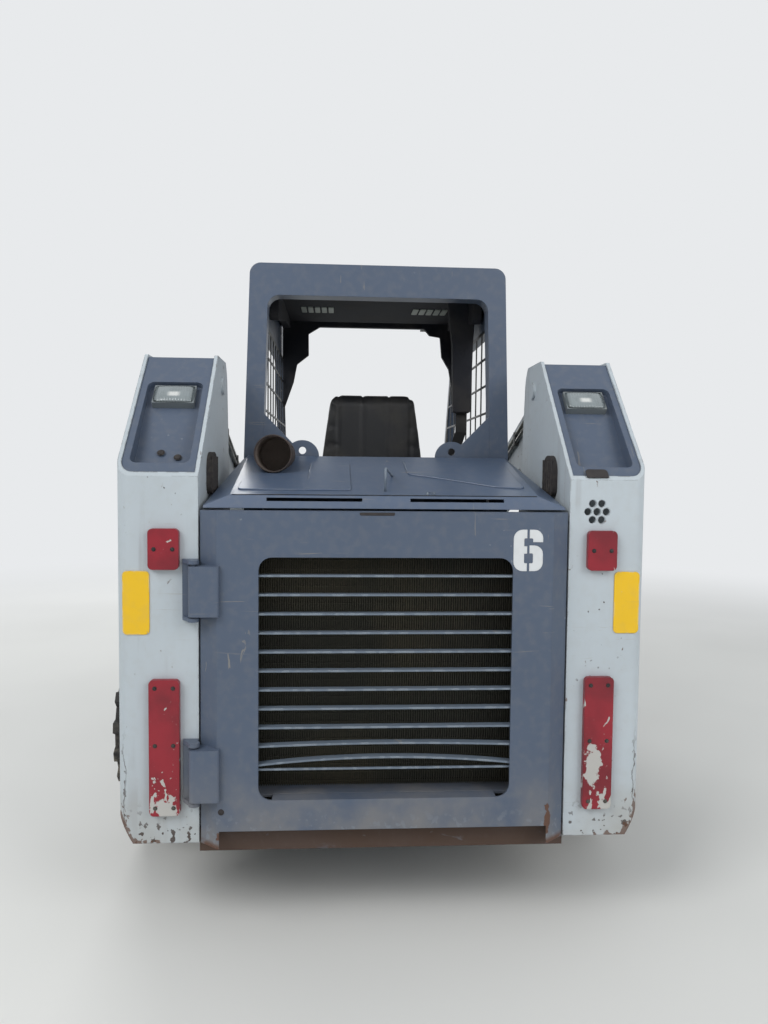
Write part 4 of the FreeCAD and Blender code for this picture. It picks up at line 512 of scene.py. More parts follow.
def add_slab(shape, corners, low, high, spot):
    """Add to a bmesh an outline pushed from one level to another. spot(a, b, level) gives its places."""
    outline = rounded(corners)
    rims = [[shape.verts.new(spot(at.x, at.y, level)) for at in outline] for level in (low, high)]
    shape.faces.new(rims[0])
    shape.faces.new(list(reversed(rims[1])))
    count = len(outline)
    for i in range(count):
        j = (i + 1) % count
        shape.faces.new((rims[0][j], rims[0][i], rims[1][i], rims[1][j]))


def add_plate(shape, plane, corners, low, high):
    add_slab(shape, corners, low, high, lambda a, b, level: spot_on(plane, a, b, level))


def add_box(shape, low, high):
    add_plate(shape, XY, ((low[0], low[1]), (high[0], low[1]), (high[0], high[1]), (low[0], high[1])), low[2], high[2])


def add_turned(shape, profile, base, along, steps=32):
    """Add to a bmesh a profile of (radius, distance) turned about an axis through base."""
    along = Vector(along).normalized()
    side = along.orthogonal().normalized()
    other = along.cross(side)
    rings = []
    for radius, reach in profile:
        centre = Vector(base) + along * reach
        if radius == 0:
            rings.append([shape.verts.new(centre)])
            continue
        turns = (2 * math.pi * n / steps for n in range(steps))
        rings.append([shape.verts.new(centre + radius * (math.cos(t) * side + math.sin(t) * other)) for t in turns])
    for near, far in zip(rings, rings[1:]):
        for n in range(steps):
            m = (n + 1) % steps
            corners = (near[n % len(near)], near[m % len(near)], far[m % len(far)], far[n % len(far)])
            shape.faces.new(list(dict.fromkeys(corners)))


def finished(name, shape, finish, body, bevel=0.0, smooth=False):
    """Make a bmesh an object that rides on a body and takes its finish."""
    bmesh.ops.recalc_face_normals(shape, faces=shape.faces)
    mesh = bpy.data.meshes.new(name)
    shape.to_mesh(mesh)
    shape.free()
    return dressed(name, mesh, finish, body, bevel, smooth)


def dressed(name, mesh, finish, body, bevel=0.0, smooth=False):
    mesh.name = name
    mesh.materials.clear()
    mesh.materials.append(MATERIALS[finish])
    piece = bpy.data.objects.new(name, mesh)
    bpy.context.collection.objects.link(piece)
    if smooth:
        mesh.shade_smooth()
    if bevel:
        modifier = piece.modifiers.new("edges", "BEVEL")
        modifier.width, modifier.segments, modifier.limit_method = bevel, 2, "ANGLE"
    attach(piece, body)
    return piece


# Patterns

class Pattern:
    """A Geometry Nodes tree under construction. Its sizes are the inputs of its modifier."""

    def __init__(self, name, sizes):
        self.tree = bpy.data.node_groups.new(name, "GeometryNodeTree")
        sockets = self.tree.interface
        sockets.new_socket("Geometry", in_out="INPUT", socket_type="NodeSocketGeometry")
        self.keys = {}
        for label, kind in {**sizes, "Finish": "NodeSocketMaterial"}.items():
            self.keys[label] = sockets.new_socket(label, in_out="INPUT", socket_type=kind).identifier
        sockets.new_socket("Geometry", in_out="OUTPUT", socket_type="NodeSocketGeometry")
        self.given = self.tree.nodes.new("NodeGroupInput")

    def size(self, label):
        return self.given.outputs[label]

    def node(self, kind, settings=None, inputs=None, out=0):
        node = self.tree.nodes.new(kind)
        for name, value in (settings or {}).items():
            setattr(node, name, value)
        for name, value in (inputs or {}).items():
            if isinstance(value, bpy.types.NodeSocket):
                self.tree.links.new(value, node.inputs[name])
            else:
                node.inputs[name].default_value = value
        return node.outputs[out]

    def close(self, instances):
        """End in real geometry with its material."""
        real = self.node("GeometryNodeRealizeInstances", None, {"Geometry": instances})
        coated = self.node("GeometryNodeSetMaterial", None, {"Geometry": real, "Material": self.size("Finish")})
        end = self.tree.nodes.new("NodeGroupOutput")
        self.tree.links.new(coated, end.inputs["Geometry"])
        return self

    def grow(self, name, seed, sizes, finish, body, slot, smooth=False):
        """Run the pattern on a seed mesh and keep the result as a plain piece."""
        carrier = bpy.data.objects.new(name + "_seed", seed)
        bpy.context.collection.objects.link(carrier)
        modifier = carrier.modifiers.new(name, "NODES")
        modifier.node_group = self.tree
        for label, value in {**sizes, "Finish": MATERIALS[finish]}.items():
            modifier[self.keys[label]] = value
        evaluated = carrier.evaluated_get(bpy.context.evaluated_depsgraph_get())
        mesh = bpy.data.meshes.new_from_object(evaluated)
        bpy.data.objects.remove(carrier)
        return dressed(name, mesh, finish, body, smooth=smooth)


def point_cloud(spots):
    """A seed mesh of loose points, each (place, facing)."""
    mesh = bpy.data.meshes.new("spots")
    mesh.from_pydata([tuple(place) for place, _ in spots], [], [])
    facing = mesh.attributes.new("facing", "FLOAT_VECTOR", "POINT")
    facing.data.foreach_set("vector", [c for _, way in spots for c in way])
    return mesh


def bolt_pattern():
    """A hexagon or round head with its washer on every point, turned to face the point's way."""
    pattern = Pattern("bolt_heads", {"Radius": "NodeSocketFloat", "Height": "NodeSocketFloat", "Sides": "NodeSocketInt"})
    tall = pattern.size("Height")
    head = pattern.node("GeometryNodeMeshCylinder", None, {"Vertices": pattern.size("Sides"), "Radius": pattern.size("Radius"), "Depth": tall}, "Mesh")
    wide = pattern.node("ShaderNodeMath", {"operation": "MULTIPLY"}, {0: pattern.size("Radius"), 1: 1.45})
    thin = pattern.node("ShaderNodeMath", {"operation": "MULTIPLY"}, {0: tall, 1: 0.3})
    washer = pattern.node("GeometryNodeMeshCylinder", None, {"Vertices": 20, "Radius": wide, "Depth": thin}, "Mesh")
    lift = pattern.node("ShaderNodeMath", {"operation": "MULTIPLY"}, {0: tall, 1: 0.5})
    rise = pattern.node("ShaderNodeCombineXYZ", None, {"Z": lift})
    head = pattern.node("GeometryNodeTransform", None, {"Geometry": head, "Translation": rise})
    join = pattern.tree.nodes.new("GeometryNodeJoinGeometry")
    for part in (head, washer):
        pattern.tree.links.new(part, join.inputs[0])
    way = pattern.node("GeometryNodeInputNamedAttribute", {"data_type": "FLOAT_VECTOR"}, {"Name": "facing"})
    turn = pattern.node("FunctionNodeAlignRotationToVector", {"axis": "Z"}, {"Vector": way})
    heads = pattern.node("GeometryNodeInstanceOnPoints", None,
                         {"Points": pattern.size("Geometry"), "Instance": join.outputs[0], "Rotation": turn})
    return pattern.close(heads)


def bar_pattern():
    """Equal bars at equal steps from a starting point."""
    pattern = Pattern("even_bars", {"Count": "NodeSocketInt", "Start": "NodeSocketVector", "Step": "NodeSocketVector",
                                    "Bar": "NodeSocketVector"})
    row = pattern.node("GeometryNodeMeshLine", None, {"Count": pattern.size("Count"), "Start Location": pattern.size("Start"),
                                                      "Offset": pattern.size("Step")})
    bar = pattern.node("GeometryNodeMeshCube", None, {"Size": pattern.size("Bar")}, "Mesh")
    return pattern.close(pattern.node("GeometryNodeInstanceOnPoints", None, {"Points": row, "Instance": bar}))


def path_pattern():
    """Equal blocks along a closed path in the seed, lying along it."""
    pattern = Pattern("blocks_on_path", {"Count": "NodeSocketInt", "Block": "NodeSocketVector"})
    line = pattern.node("GeometryNodeMeshToCurve", None, {"Mesh": pattern.size("Geometry")})
    line = pattern.node("GeometryNodeResampleCurve", {"mode": "COUNT"}, {"Curve": line, "Count": pattern.size("Count")})
    block = pattern.node("GeometryNodeMeshCube", None, {"Size": pattern.size("Block")}, "Mesh")
    way = pattern.node("GeometryNodeInputTangent")
    turn = pattern.node("FunctionNodeAlignRotationToVector", {"axis": "X", "pivot_axis": "Y"}, {"Vector": way})
    return pattern.close(pattern.node("GeometryNodeInstanceOnPoints", None, {"Points": line, "Instance": block, "Rotation": turn}))


BOLTS, BARS, PATH_BLOCKS = bolt_pattern(), bar_pattern(), path_pattern()


def bolts(name, spots, radius, height, body, slot, finish="zinc", sides=6):
    return BOLTS.grow(name, point_cloud(spots), {"Radius": radius, "Height": height, "Sides": sides}, finish, body, slot)


def bars(name, count, start, step, bar, finish, body, slot):
    sizes = {"Count": count, "Start": start, "Step": step, "Bar": bar}
    return BARS.grow(name, bpy.data.meshes.new("seed"), sizes, finish, body, slot)


# Rear: towers, door, hood

REARWARD = Vector((-1, 0, 0))


def pad_screws():
    """Two dark screws in each short pad and six in each long one."""
    spots = []
    for low, high in solids("marker_pads"):
        rows = (0.5,) if high.z - low.z < 0.2 else (0.06, 0.52, 0.94)
        for row in rows:
            for side in (0.2, 0.8):
                spots.append((Vector((low.x - SKIN, low.y + side * (high.y - low.y), low.z + row * (high.z - low.z))), REARWARD))
    bolts("pad_screws", spots, 0.0045, 0.002, "machine", "black_paint", "black_paint", 6)


DOOR_FACE = -1.849
SIX_WIDTH, SIX_HEIGHT = 0.090, 0.126
SIX_PLACE = (-0.427, 1.216)     # its middle on the door, y and z
SIX_STROKES = (
    ((0.46, 0), (0, 0, 0.028), (0, 1, 0.028), (0.46, 1), (0.46, 0.79), (0.36, 0.79, 0.004), (0.36, 0.60), (0.46, 0.60),
     (0.46, 0.42), (0.36, 0.42), (0.36, 0.19, 0.004), (0.46, 0.19)),
    ((0.54, 0), (1, 0, 0.026), (1, 0.62, 0.026), (0.54, 0.62), (0.54, 0.43), (0.66, 0.43, 0.004), (0.66, 0.19, 0.004),
     (0.54, 0.19)),
    ((0.54, 1), (1, 1, 0.026), (1, 0.70), (0.66, 0.70), (0.66, 0.79, 0.004), (0.54, 0.79)),
)


def stencilled_six():
    """A plain digit sprayed through a stencil, with the stencil's bridges."""
    shape = bmesh.new()
    for stroke in SIX_STROKES:
        corners = [(SIX_PLACE[0] + (0.5 - c[0]) * SIX_WIDTH, SIX_PLACE[1] + (c[1] - 0.5) * SIX_HEIGHT) + tuple(c[2:]) for c in stroke]
        add_plate(shape, YZ, corners, DOOR_FACE - SKIN, DOOR_FACE + SKIN)
    finished("stencilled_digit", shape, "stencil", "rear_door")


def fins_and_tubes():
    """The cooler's fins, with its flat tubes between them, just behind the grille."""
    low, high = box("radiator")
    pitch, wide, tall = 0.0073, high.y - low.y - 0.04, high.z - low.z - 0.03
    middle_z = (low.z + high.z) / 2
    bars("cooler_fins", int(wide / pitch), (low.x - 0.006, low.y + 0.02, middle_z), (0, pitch, 0), (0.012, 0.0024, tall), "fins",
         "machine", "core")
    rows = 34
    bars("cooler_tubes", rows, (low.x - 0.003, (low.y + high.y) / 2, low.z + 0.02), (0, 0, tall / rows), (0.006, wide, 0.003),
         "fins", "machine", "core")


def door_fittings():
    """A dark strip that is painted shade for the finger pull's slot at the door's top, the plug at its foot and the
    bolts of its hinge boxes.
    """
    shape = bmesh.new()
    # painted shade: a thin dark strip on the door's face where the finger pull's recessed slot lies in shadow
    add_plate(shape, YZ, ((-0.022, 1.3185, 0.004), (0.083, 1.3185, 0.004), (0.083, 1.3275, 0.003), (-0.022, 1.3275, 0.003)),
              DOOR_FACE - SKIN * 2, DOOR_FACE + 0.004)
    finished("door_finger_pull_shade", shape, "boot_rubber", "rear_door")
    shape = bmesh.new()
    add_turned(shape, ((0, -0.003), (0.008, -0.0025), (0.0095, 0.0), (0.0095, 0.002), (0, 0.002)), (DOOR_FACE, 0.493, 0.422),
               (1, 0, 0), 20)
    finished("door_plug", shape, "boot_rubber", "rear_door", smooth=True)
    spots = []
    for low, high in solids("door_hinge_lugs"):
        for row in (0.22, 0.78):
            spots.append((Vector((-1.804 - SKIN, high.y - 0.012, low.z + row * (high.z - low.z))), REARWARD))
    bolts("hinge_bolts", spots, 0.006, 0.004, "machine", "grey_paint", "body_paint")


def hood_top(x):
    """The height of the hood's sloping sheet."""
    return 1.376 + (x + 1.774) * (1.505 - 1.376) / 0.545


def hood_fittings():
    """The pressed panels, the wire handle and the small staple of the hood, and the pipe's rim."""
    shape = bmesh.new()
    for corners in (((-1.722, 0.107, 0.01), (-1.722, 0.462, 0.02), (-1.604, 0.462, 0.02), (-1.604, 0.247, 0.012), (-1.354, 0.247, 0.012),
                     (-1.354, 0.107, 0.01)),
                    ((-1.504, -0.09, 0.02), (-1.30, -0.09, 0.02), (-1.30, -0.455, 0.02), (-1.69, -0.455, 0.02), (-1.67, -0.36, 0.05),
                     (-1.56, -0.19, 0.06))):
        add_slab(shape, corners, -SKIN, 0.0045, lambda a, b, level: Vector((a, b, hood_top(a) + level)))
    finished("hood_pressings", shape, "hood_paint", "hood", bevel=0.0035)
    shape = bmesh.new()
    add_slab(shape, ((-1.7735, -0.470), (-1.7700, -0.470), (-1.7700, 0.470), (-1.7735, 0.470)), -SKIN, 0.0008,
             lambda a, b, level: Vector((a, b, hood_top(a) + level)))
    finished("hood_seam", shape, "black_paint", "hood")
    shape = bmesh.new()
    tube(shape, [(-1.724, 0.0, hood_top(-1.724) - 0.004), (-1.724, 0.0, 1.452), (-1.719, -0.001, 1.459), (-1.708, -0.003, 1.460),
                 (-1.535, -0.033, 1.4365), (-1.510, -0.037, hood_top(-1.51) - 0.003)], 0.0038)
    tube(shape, [(-1.765, -0.128, hood_top(-1.765) - 0.002), (-1.765, -0.128, hood_top(-1.765) + 0.007), (-1.765, -0.150, hood_top(-1.765) + 0.007),
                 (-1.765, -0.150, hood_top(-1.765) - 0.002)], 0.0025)
    finished("hood_handle", shape, "slat_paint_lit_edges", "hood", smooth=True)
    pipe_low, pipe_high = box("exhaust_pipe")
    middle = (pipe_low + pipe_high) / 2
    radius = (pipe_high.z - pipe_low.z) / 2
    shape = bmesh.new()
    add_turned(shape, ((radius - 0.004, 0.010), (radius - 0.0045, 0.0), (radius - 0.001, -0.002), (radius + 0.001, 0.0),
                       (radius, 0.008), (radius - 0.004, 0.010)), (pipe_low.x, middle.y, middle.z), (1, 0, 0), 48)
    finished("exhaust_rim", shape, "pipe_rust", "hood", smooth=True)


def tube(shape, points, radius, sides=12):
    """Add to a bmesh a round tube through points, capped at both ends."""
    points = [Vector(p) for p in points]
    rings = []
    for i, point in enumerate(points):
        ways = []
        if i:
            ways.append((point - points[i - 1]).normalized())
        if i + 1 < len(points):
            ways.append((points[i + 1] - point).normalized())
        way = sum(ways, Vector()).normalized()
        side = (way.cross(Vector((0, 1, 0))) if abs(way.y) < 0.9 else way.cross(Vector((0, 0, 1)))).normalized()
        other = way.cross(side)
        stretch = 1.0 / max(0.5, way.dot(ways[0]))
        turns = [2 * math.pi * n / sides for n in range(sides)]
        rings.append([shape.verts.new(point + radius * stretch * (math.cos(t) * side + math.sin(t) * other)) for t in turns])
    for near, far in zip(rings, rings[1:]):
        for n in range(sides):
            m = (n + 1) % sides
            shape.faces.new((near[n], near[m], far[m], far[n]))
    shape.faces.new(list(reversed(rings[0])))
    shape.faces.new(rings[-1])


def lamp_glass():
    """A crowned lens on each rear lamp and, in a rim, on each work lamp."""
    shape = bmesh.new()
    for side in (1, -1):
        middle = trough_spot(372.5, 12, side * LAMP_MIDDLE_Y)
        add_crowned(shape, middle, TROUGH_UP, Vector((0, 1, 0)), TROUGH_OUT, 0.0420, 0.0675, 0.008)
    finished("rear_lamp_lenses", shape, "lens", "machine", smooth=True)
    shape, rims = bmesh.new(), bmesh.new()
    for low, high in solids("work_lamps"):
        middle = Vector((high.x, (low.y + high.y) / 2, (low.z + high.z) / 2))
        add_crowned(shape, middle, Vector((0, 0, 1)), Vector((0, 1, 0)), Vector((1, 0, 0)), 0.018, 0.05, 0.006)
        add_frame(rims, middle, Vector((0, 0, 1)), Vector((0, 1, 0)), Vector((1, 0, 0)), 0.023, 0.059, 0.005, 0.005)
    finished("work_lamp_lenses", shape, "vent", "machine", smooth=True)
    finished("work_lamp_rims", rims, "plastic", "machine")


TROUGH_LEAN = math.radians(47.2)
TROUGH_UP = Vector((math.cos(TROUGH_LEAN), 0, math.sin(TROUGH_LEAN)))
TROUGH_OUT = Vector((-math.sin(TROUGH_LEAN), 0, math.cos(TROUGH_LEAN)))


def trough_spot(run, depth, y):
    """A place in a trough, from millimetres up along it and into it."""
    return Vector((-1.804, y, 1.434)) + TROUGH_UP * run / 1000 - TROUGH_OUT * depth / 1000


def pocket_floor(run):
    """How deep the lamp pocket's floor is."""
    return 52 + (28 - 52) * (run - 55) / 370


def trough_fittings():
    """Two dark plugs in the left pocket, the grommet at the foot of the right one."""
    spots = [(trough_spot(run, pocket_floor(run) - 0.5, y), TROUGH_OUT) for run, y in ((136.0, 0.704), (118.0, 0.650))]
    bolts("pocket_plugs", spots, 0.0085, 0.002, "machine", "rubber", "boot_rubber", 16)
    shape = bmesh.new()
    add_slab(shape, ((0.003, -0.688, 0.003), (0.003, -0.618, 0.003), (0.038, -0.618, 0.012), (0.038, -0.688, 0.012)), 0.0, -3.0,
             lambda a, b, level: trough_spot(1000 * a, level, b))
    finished("trough_grommet", shape, "boot_rubber", "machine", bevel=0.002)
    shape = bmesh.new()
    for low, high in solids("hose_boots"):
        face = low.y if low.y > 0 else high.y
        way = -1 if low.y > 0 else 1
        for n in range(5):
            x = low.x + (high.x - low.x) * (n + 0.5) / 5
            add_plate(shape, XY, ((x - 0.0055, face, 0), (x + 0.0055, face, 0), (x + 0.0025, face + way * 0.004, 0), (x - 0.0025, face + way * 0.004, 0)),
                      low.z + 0.014, high.z - 0.014)
    finished("boot_ridges", shape, "boot_rubber", "machine")


def add_crowned(shape, middle, up, across, out, half_up, half_across, crown, count=10):
    """Add to a bmesh a pillow-shaped lens with a flat back."""
    grid = []
    for i in range(count + 1):
        row = []
        for j in range(count + 1):
            a, b = 2 * i / count - 1, 2 * j / count - 1
            # squares the circle's mapping a little, for rounded corners
            pull_a, pull_b = a * math.sqrt(1 - 0.16 * b ** 4), b * math.sqrt(1 - 0.16 * a ** 4)
            rise = crown * (1 - a ** 4) * (1 - b ** 4)
            row.append(shape.verts.new(middle + up * pull_a * half_up + across * pull_b * half_across + out * rise))
        grid.append(row)
    for i in range(count):
        for j in range(count):
            shape.faces.new((grid[i][j], grid[i + 1][j], grid[i + 1][j + 1], grid[i][j + 1]))
    rim = [grid[0][j] for j in range(count)] + [grid[i][count] for i in range(count)]
    rim += [grid[count][j] for j in range(count, 0, -1)] + [grid[i][0] for i in range(count, 0, -1)]
    shape.faces.new(rim)


def add_frame(shape, middle, up, across, out, half_up, half_across, wide, deep):
    """Add to a bmesh a rectangular rim."""
    corners = ((-1, -1), (1, -1), (1, 1), (-1, 1))
    loops = []
    for inset, rise in ((0, 0), (0, deep), (wide, deep), (wide, 0)):
        loops.append([shape.verts.new(middle + up * a * (half_up - inset) + across * b * (half_across - inset) + out * rise)
                      for a, b in corners])
    for near, far in zip(loops, loops[1:] + loops[:1]):
        for n in range(4):
            m = (n + 1) % 4
            shape.faces.new((near[n], near[m], far[m], far[n]))


# Cab

FRONT_TRIM = ((0.430, 2.197), (0.430, 1.768), (0.420, 1.768), (0.376, 1.893, 0.02), (0.359, 1.982), (0.301, 2.028), (0.302, 2.134),
              (0.244, 2.170), (-0.277, 2.170), (-0.305, 2.137), (-0.359, 2.129), (-0.368, 2.031), (-0.405, 1.969), (-0.424, 1.862),
              (-0.430, 1.862), (-0.430, 2.197))


def lining():
    """The dark lining under the roof, pale squares under its slots that are painted light for the sky seen through
    them, and the trim round the front opening.
    """
    low, high = box("canopy_roof")
    inner = box("side_screens")[1].y - 0.012
    rear, front = low.x + 0.09, high.x - 0.12
    under = low.z - 0.001
    shape = bmesh.new()
    add_plate(shape, XZ, ((rear, under), (front, under), (front, under - 0.022, 0.01), (rear + 0.10, under - 0.022, 0.03), (rear, under - 0.012, 0.004)),
              -inner, inner)
    for side in (1, -1):
        add_plate(shape, XZ, ((rear, under), (front, under), (front, under - 0.055), (-0.60, under - 0.075, 0.1), (rear, under - 0.16, 0.03)),
                  side * inner, side * (inner - 0.035))
    add_plate(shape, YZ, FRONT_TRIM, -0.262, -0.236)
    finished("roof_lining", shape, "lining", "machine", bevel=0.004)
    shape = bmesh.new()
    # painted light: pale squares where sky shows through the roof's slots
    for y_low, y_high in ((0.171, 0.324), (-0.345, -0.180)):
        step = (y_high - y_low) / 5
        for n in range(5):
            y = y_low + n * step
            add_plate(shape, XY, ((-0.66, y + 0.004, 0.005), (-0.55, y + 0.004, 0.005), (-0.55, y + step - 0.004, 0.005), (-0.66, y + step - 0.004, 0.005)),
                      under - 0.026, under - 0.020)
    finished("roof_slot_skylight", shape, "vent", "machine", bevel=0.001)


def belt():
    """The shoulder belt that hangs from the roof beside the seat, and its sleeve."""
    shape = bmesh.new()
    add_strap(shape, ((-0.90, -0.368, 2.180), (-0.90, -0.368, 1.62), (-0.86, -0.335, 1.50), (-0.76, -0.262, 1.26)), (0, 1, 0), 0.046, 0.003)
    finished("seat_belt", shape, "webbing", "machine")
    shape = bmesh.new()
    add_plate(shape, YZ, ((-0.405, 1.70, 0.01), (-0.331, 1.70, 0.01), (-0.325, 1.98), (-0.30, 2.18), (-0.42, 2.18), (-0.412, 1.98)), -0.925, -0.882)
    finished("belt_sleeve", shape, "lining", "machine", bevel=0.006)


def add_strap(shape, points, across, width, thick):
    """Add to a bmesh a flat strap through points."""
    points = [Vector(p) for p in points]
    across = Vector(across)
    loops = []
    for i, point in enumerate(points):
        way = (points[min(i + 1, len(points) - 1)] - points[max(i - 1, 0)]).normalized()
        side = (across - way * across.dot(way)).normalized() * width / 2
        out = way.cross(side).normalized() * thick / 2
        loops.append([shape.verts.new(point + a * side + b * out) for a, b in ((-1, -1), (1, -1), (1, 1), (-1, 1))])
    for near, far in zip(loops, loops[1:]):
        for n in range(4):
            m = (n + 1) % 4
            shape.faces.new((near[n], near[m], far[m], far[n]))
    shape.faces.new(list(reversed(loops[0])))
    shape.faces.new(loops[-1])


def seat_pads():
    """Padded cushion and backrest, swollen from their solids."""
    for node, fill in (("seat_cushion", 0.7), ("seat_back", 0.7)):
        mesh = NODES[node].data.copy()
        shape = bmesh.new()
        shape.from_mesh(mesh)
        bmesh.ops.remove_doubles(shape, verts=shape.verts, dist=1e-5)
        shape.to_mesh(mesh)
        shape.free()
        pad = bpy.data.objects.new(node + "_pad", mesh)
        bpy.context.collection.objects.link(pad)
        swell(pad, SEAT_SHRINK, SEAT_SWELL)
        if node == "seat_back":
            fill_sides(pad)
        press_seams(pad, node)
        pad.data.materials.clear()
        pad.data.materials.append(MATERIALS["vinyl"])
        pad.data.shade_smooth()
        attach(pad, "machine")
        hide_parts(node)


SEAT_SHRINK, SEAT_SWELL = 0.002, 0.009
SEAT_VOXEL = 0.008


def swell(pad, shrink, cap):
    """Shrink a pad, let pressure fill it as cloth and cap how far any point moves."""
    remesh = pad.modifiers.new("even", "REMESH")
    remesh.mode, remesh.voxel_size = "VOXEL", SEAT_VOXEL
    freeze(pad)
    shape = bmesh.new()
    shape.from_mesh(pad.data)
    for _ in range(6):
        bmesh.ops.smooth_vert(shape, verts=shape.verts, factor=0.5, use_axis_x=True, use_axis_y=True, use_axis_z=True)
    shape.to_mesh(pad.data)
    shape.free()
    for vert in pad.data.vertices:
        vert.co -= vert.normal * shrink
    start = [vert.co.copy() for vert in pad.data.vertices]
    cloth = pad.modifiers.new("filled", "CLOTH")
    cloth.settings.use_pressure = True
    cloth.settings.uniform_pressure_force = 4
    cloth.settings.effector_weights.gravity = 0
    cloth.point_cache.frame_end = 20
    for step in range(1, 21):
        bpy.context.scene.frame_set(step)
    freeze(pad)
    bpy.context.scene.frame_set(1)
    for vert, old in zip(pad.data.vertices, start):
        move = vert.co - old
        if move.length > cap:
            vert.co = old + move.normalized() * cap


def fill_sides(pad):
    """Round the backrest's sides out at half its height."""
    heights = [vert.co.z for vert in pad.data.vertices]
    low, high = min(heights), max(heights)
    for vert in pad.data.vertices:
        vert.co.y *= 1 + 0.09 * math.sin(math.pi * (vert.co.z - low) / (high - low))


def press_seams(pad, node):
    """Press the sewn channels into a pad: two across the cushion, two up the backrest."""
    for vert in pad.data.vertices:
        spot = vert.co
        if node == "seat_back":
            near = min(abs(spot.y - line) for line in (0.042, -0.074, 0.150, -0.168))
        else:
            near = min(abs(spot.x - line) for line in (-0.50, -0.36, -0.22)) if spot.z > 1.25 else 1.0
        if near < 0.008:
            vert.co -= vert.normal * 0.006 * (1 - (near / 0.008) ** 2)


def freeze(piece):
    """Apply a piece's modifiers."""
    evaluated = piece.evaluated_get(bpy.context.evaluated_depsgraph_get())
    mesh = bpy.data.meshes.new_from_object(evaluated)
    piece.modifiers.clear()
    piece.data = mesh


def cab_fittings():
    """Rubber boots and buttons on the consoles."""
    shape = bmesh.new()
    buttons = []
    for low, high in solids("consoles"):
        middle = (low.y + high.y) / 2
        x = high.x - 0.095
        profile = [(0.0, 0.0), (0.044, 0.0)]
        for fold in range(5):
            radius, rise = 0.040 - fold * 0.006, 0.006 + fold * 0.011
            profile += [(radius, rise), (radius - 0.007, rise + 0.006)]
        profile += [(0.010, 0.064), (0.0, 0.064)]
        add_turned(shape, profile, (x, middle, high.z - 0.001), (0, 0, 1), 28)
        for n in range(4):
            for side in (-0.03, 0.03):
                buttons.append((Vector((x - 0.13 - 0.045 * n, middle + side, high.z + SKIN)), Vector((0, 0, 1))))
    finished("lever_boots", shape, "boot_rubber", "machine", smooth=True)
    bolts("console_buttons", buttons, 0.011, 0.006, "machine", "plastic", "plastic", 20)


# Undercarriage

def track_path(side):
    """The belt's inner line round the wheels of one side, as points."""
    wheels = [ends for ends in solids("rollers") if (ends[0].y > 0) == (side > 0)]
    wheels.sort(key=lambda ends: ends[0].x)
    wheels = [wheels[0], wheels[-1]]
    for node in ("idlers", "sprockets"):
        wheels += [ends for ends in solids(node) if (ends[0].y > 0) == (side > 0)]
    circles = [((low.x + high.x) / 2, (low.z + high.z) / 2, (high.z - low.z) / 2) for low, high in wheels]
    points = []
    for i, (x, z, r) in enumerate(circles):
        before, after = circles[i - 1], circles[(i + 1) % len(circles)]
        arrive, leave = tangent(before, (x, z, r)), tangent((x, z, r), after)
        turn = (leave - arrive) % (2 * math.pi)
        steps = max(2, round(turn / math.radians(6)))
        points += [Vector((x + r * math.cos(arrive + turn * n / steps), 0, z + r * math.sin(arrive + turn * n / steps)))
                   for n in range(steps + 1)]
    return points


def tangent(a, b):
    """The outward angle of the line that touches two circles, the loop running anticlockwise."""
    span = math.hypot(b[0] - a[0], b[1] - a[1])
    return math.atan2(b[1] - a[1], b[0] - a[0]) - math.acos((a[2] - b[2]) / span)


def track_details():
    """Guide horns inside the belts and low ribs between their lugs."""
    for side, node in ((1, "track_left"), (-1, "track_right")):
        low, high = box(node)
        middle = (low.y + high.y) / 2
        points = track_path(side)
        word = node.split("_")[1]
        for label, lift, offset, block, count in (
                ("guide_horns", -0.012, 0.045, (0.040, 0.020, 0.026), 54),
                ("side_ribs", 0.034, 0.190, (0.050, 0.050, 0.010), 54)):
            for number, at in enumerate((-offset, offset)):
                line = offset_loop(points, lift)
                seed = bpy.data.meshes.new("path")
                seed.from_pydata([(p.x, middle + at, p.z) for p in line], [(n, (n + 1) % len(line)) for n in range(len(line))], [])
                PATH_BLOCKS.grow("%s_%s_%d" % (label, word, number), seed, {"Count": count, "Block": block}, "track_rubber",
                                 "machine", "track_rubber")


def offset_loop(points, lift):
    """A closed line moved outwards."""
    moved = []
    for i, point in enumerate(points):
        along = points[(i + 1) % len(points)] - points[i - 1]
        out = Vector((along.z, 0, -along.x)).normalized()
        moved.append(point + out * lift)
    return moved


def ring(centre, radius, count, way):
    """Points round a centre, facing one way along y."""
    return [(Vector((centre[0] + radius * math.cos(2 * math.pi * n / count), centre[1], centre[2] + radius * math.sin(2 * math.pi * n / count))),
             Vector((0, way, 0))) for n in range(count)]


def undercarriage_bolts():
    """Bolts on the sprockets' hubs and the rollers' ends."""
    spots = []
    for low, high in solids("sprockets"):
        way = 1 if low.y > 0 else -1
        centre = ((low.x + high.x) / 2, (high.y if way > 0 else low.y) - way * 0.022, (low.z + high.z) / 2)
        spots += ring(centre, 0.096, 9, way)
    bolts("sprocket_bolts", spots, 0.011, 0.012, "machine", "steel", "worn_steel")
    spots = []
    frames = solids("track_frames")
    for node in ("rollers", "idlers"):
        for low, high in solids(node):
            way = 1 if low.y > 0 else -1
            rail = [ends for ends in frames if (ends[0].y > 0) == (way > 0)][0]
            face = rail[1].y if way > 0 else rail[0].y
            spots += ring(((low.x + high.x) / 2, face + way * 0.001, (low.z + high.z) / 2 + 0.0), 0.030, 3, way)
    bolts("roller_bolts", spots, 0.009, 0.008, "machine", "steel", "zinc")


# Boom and bucket

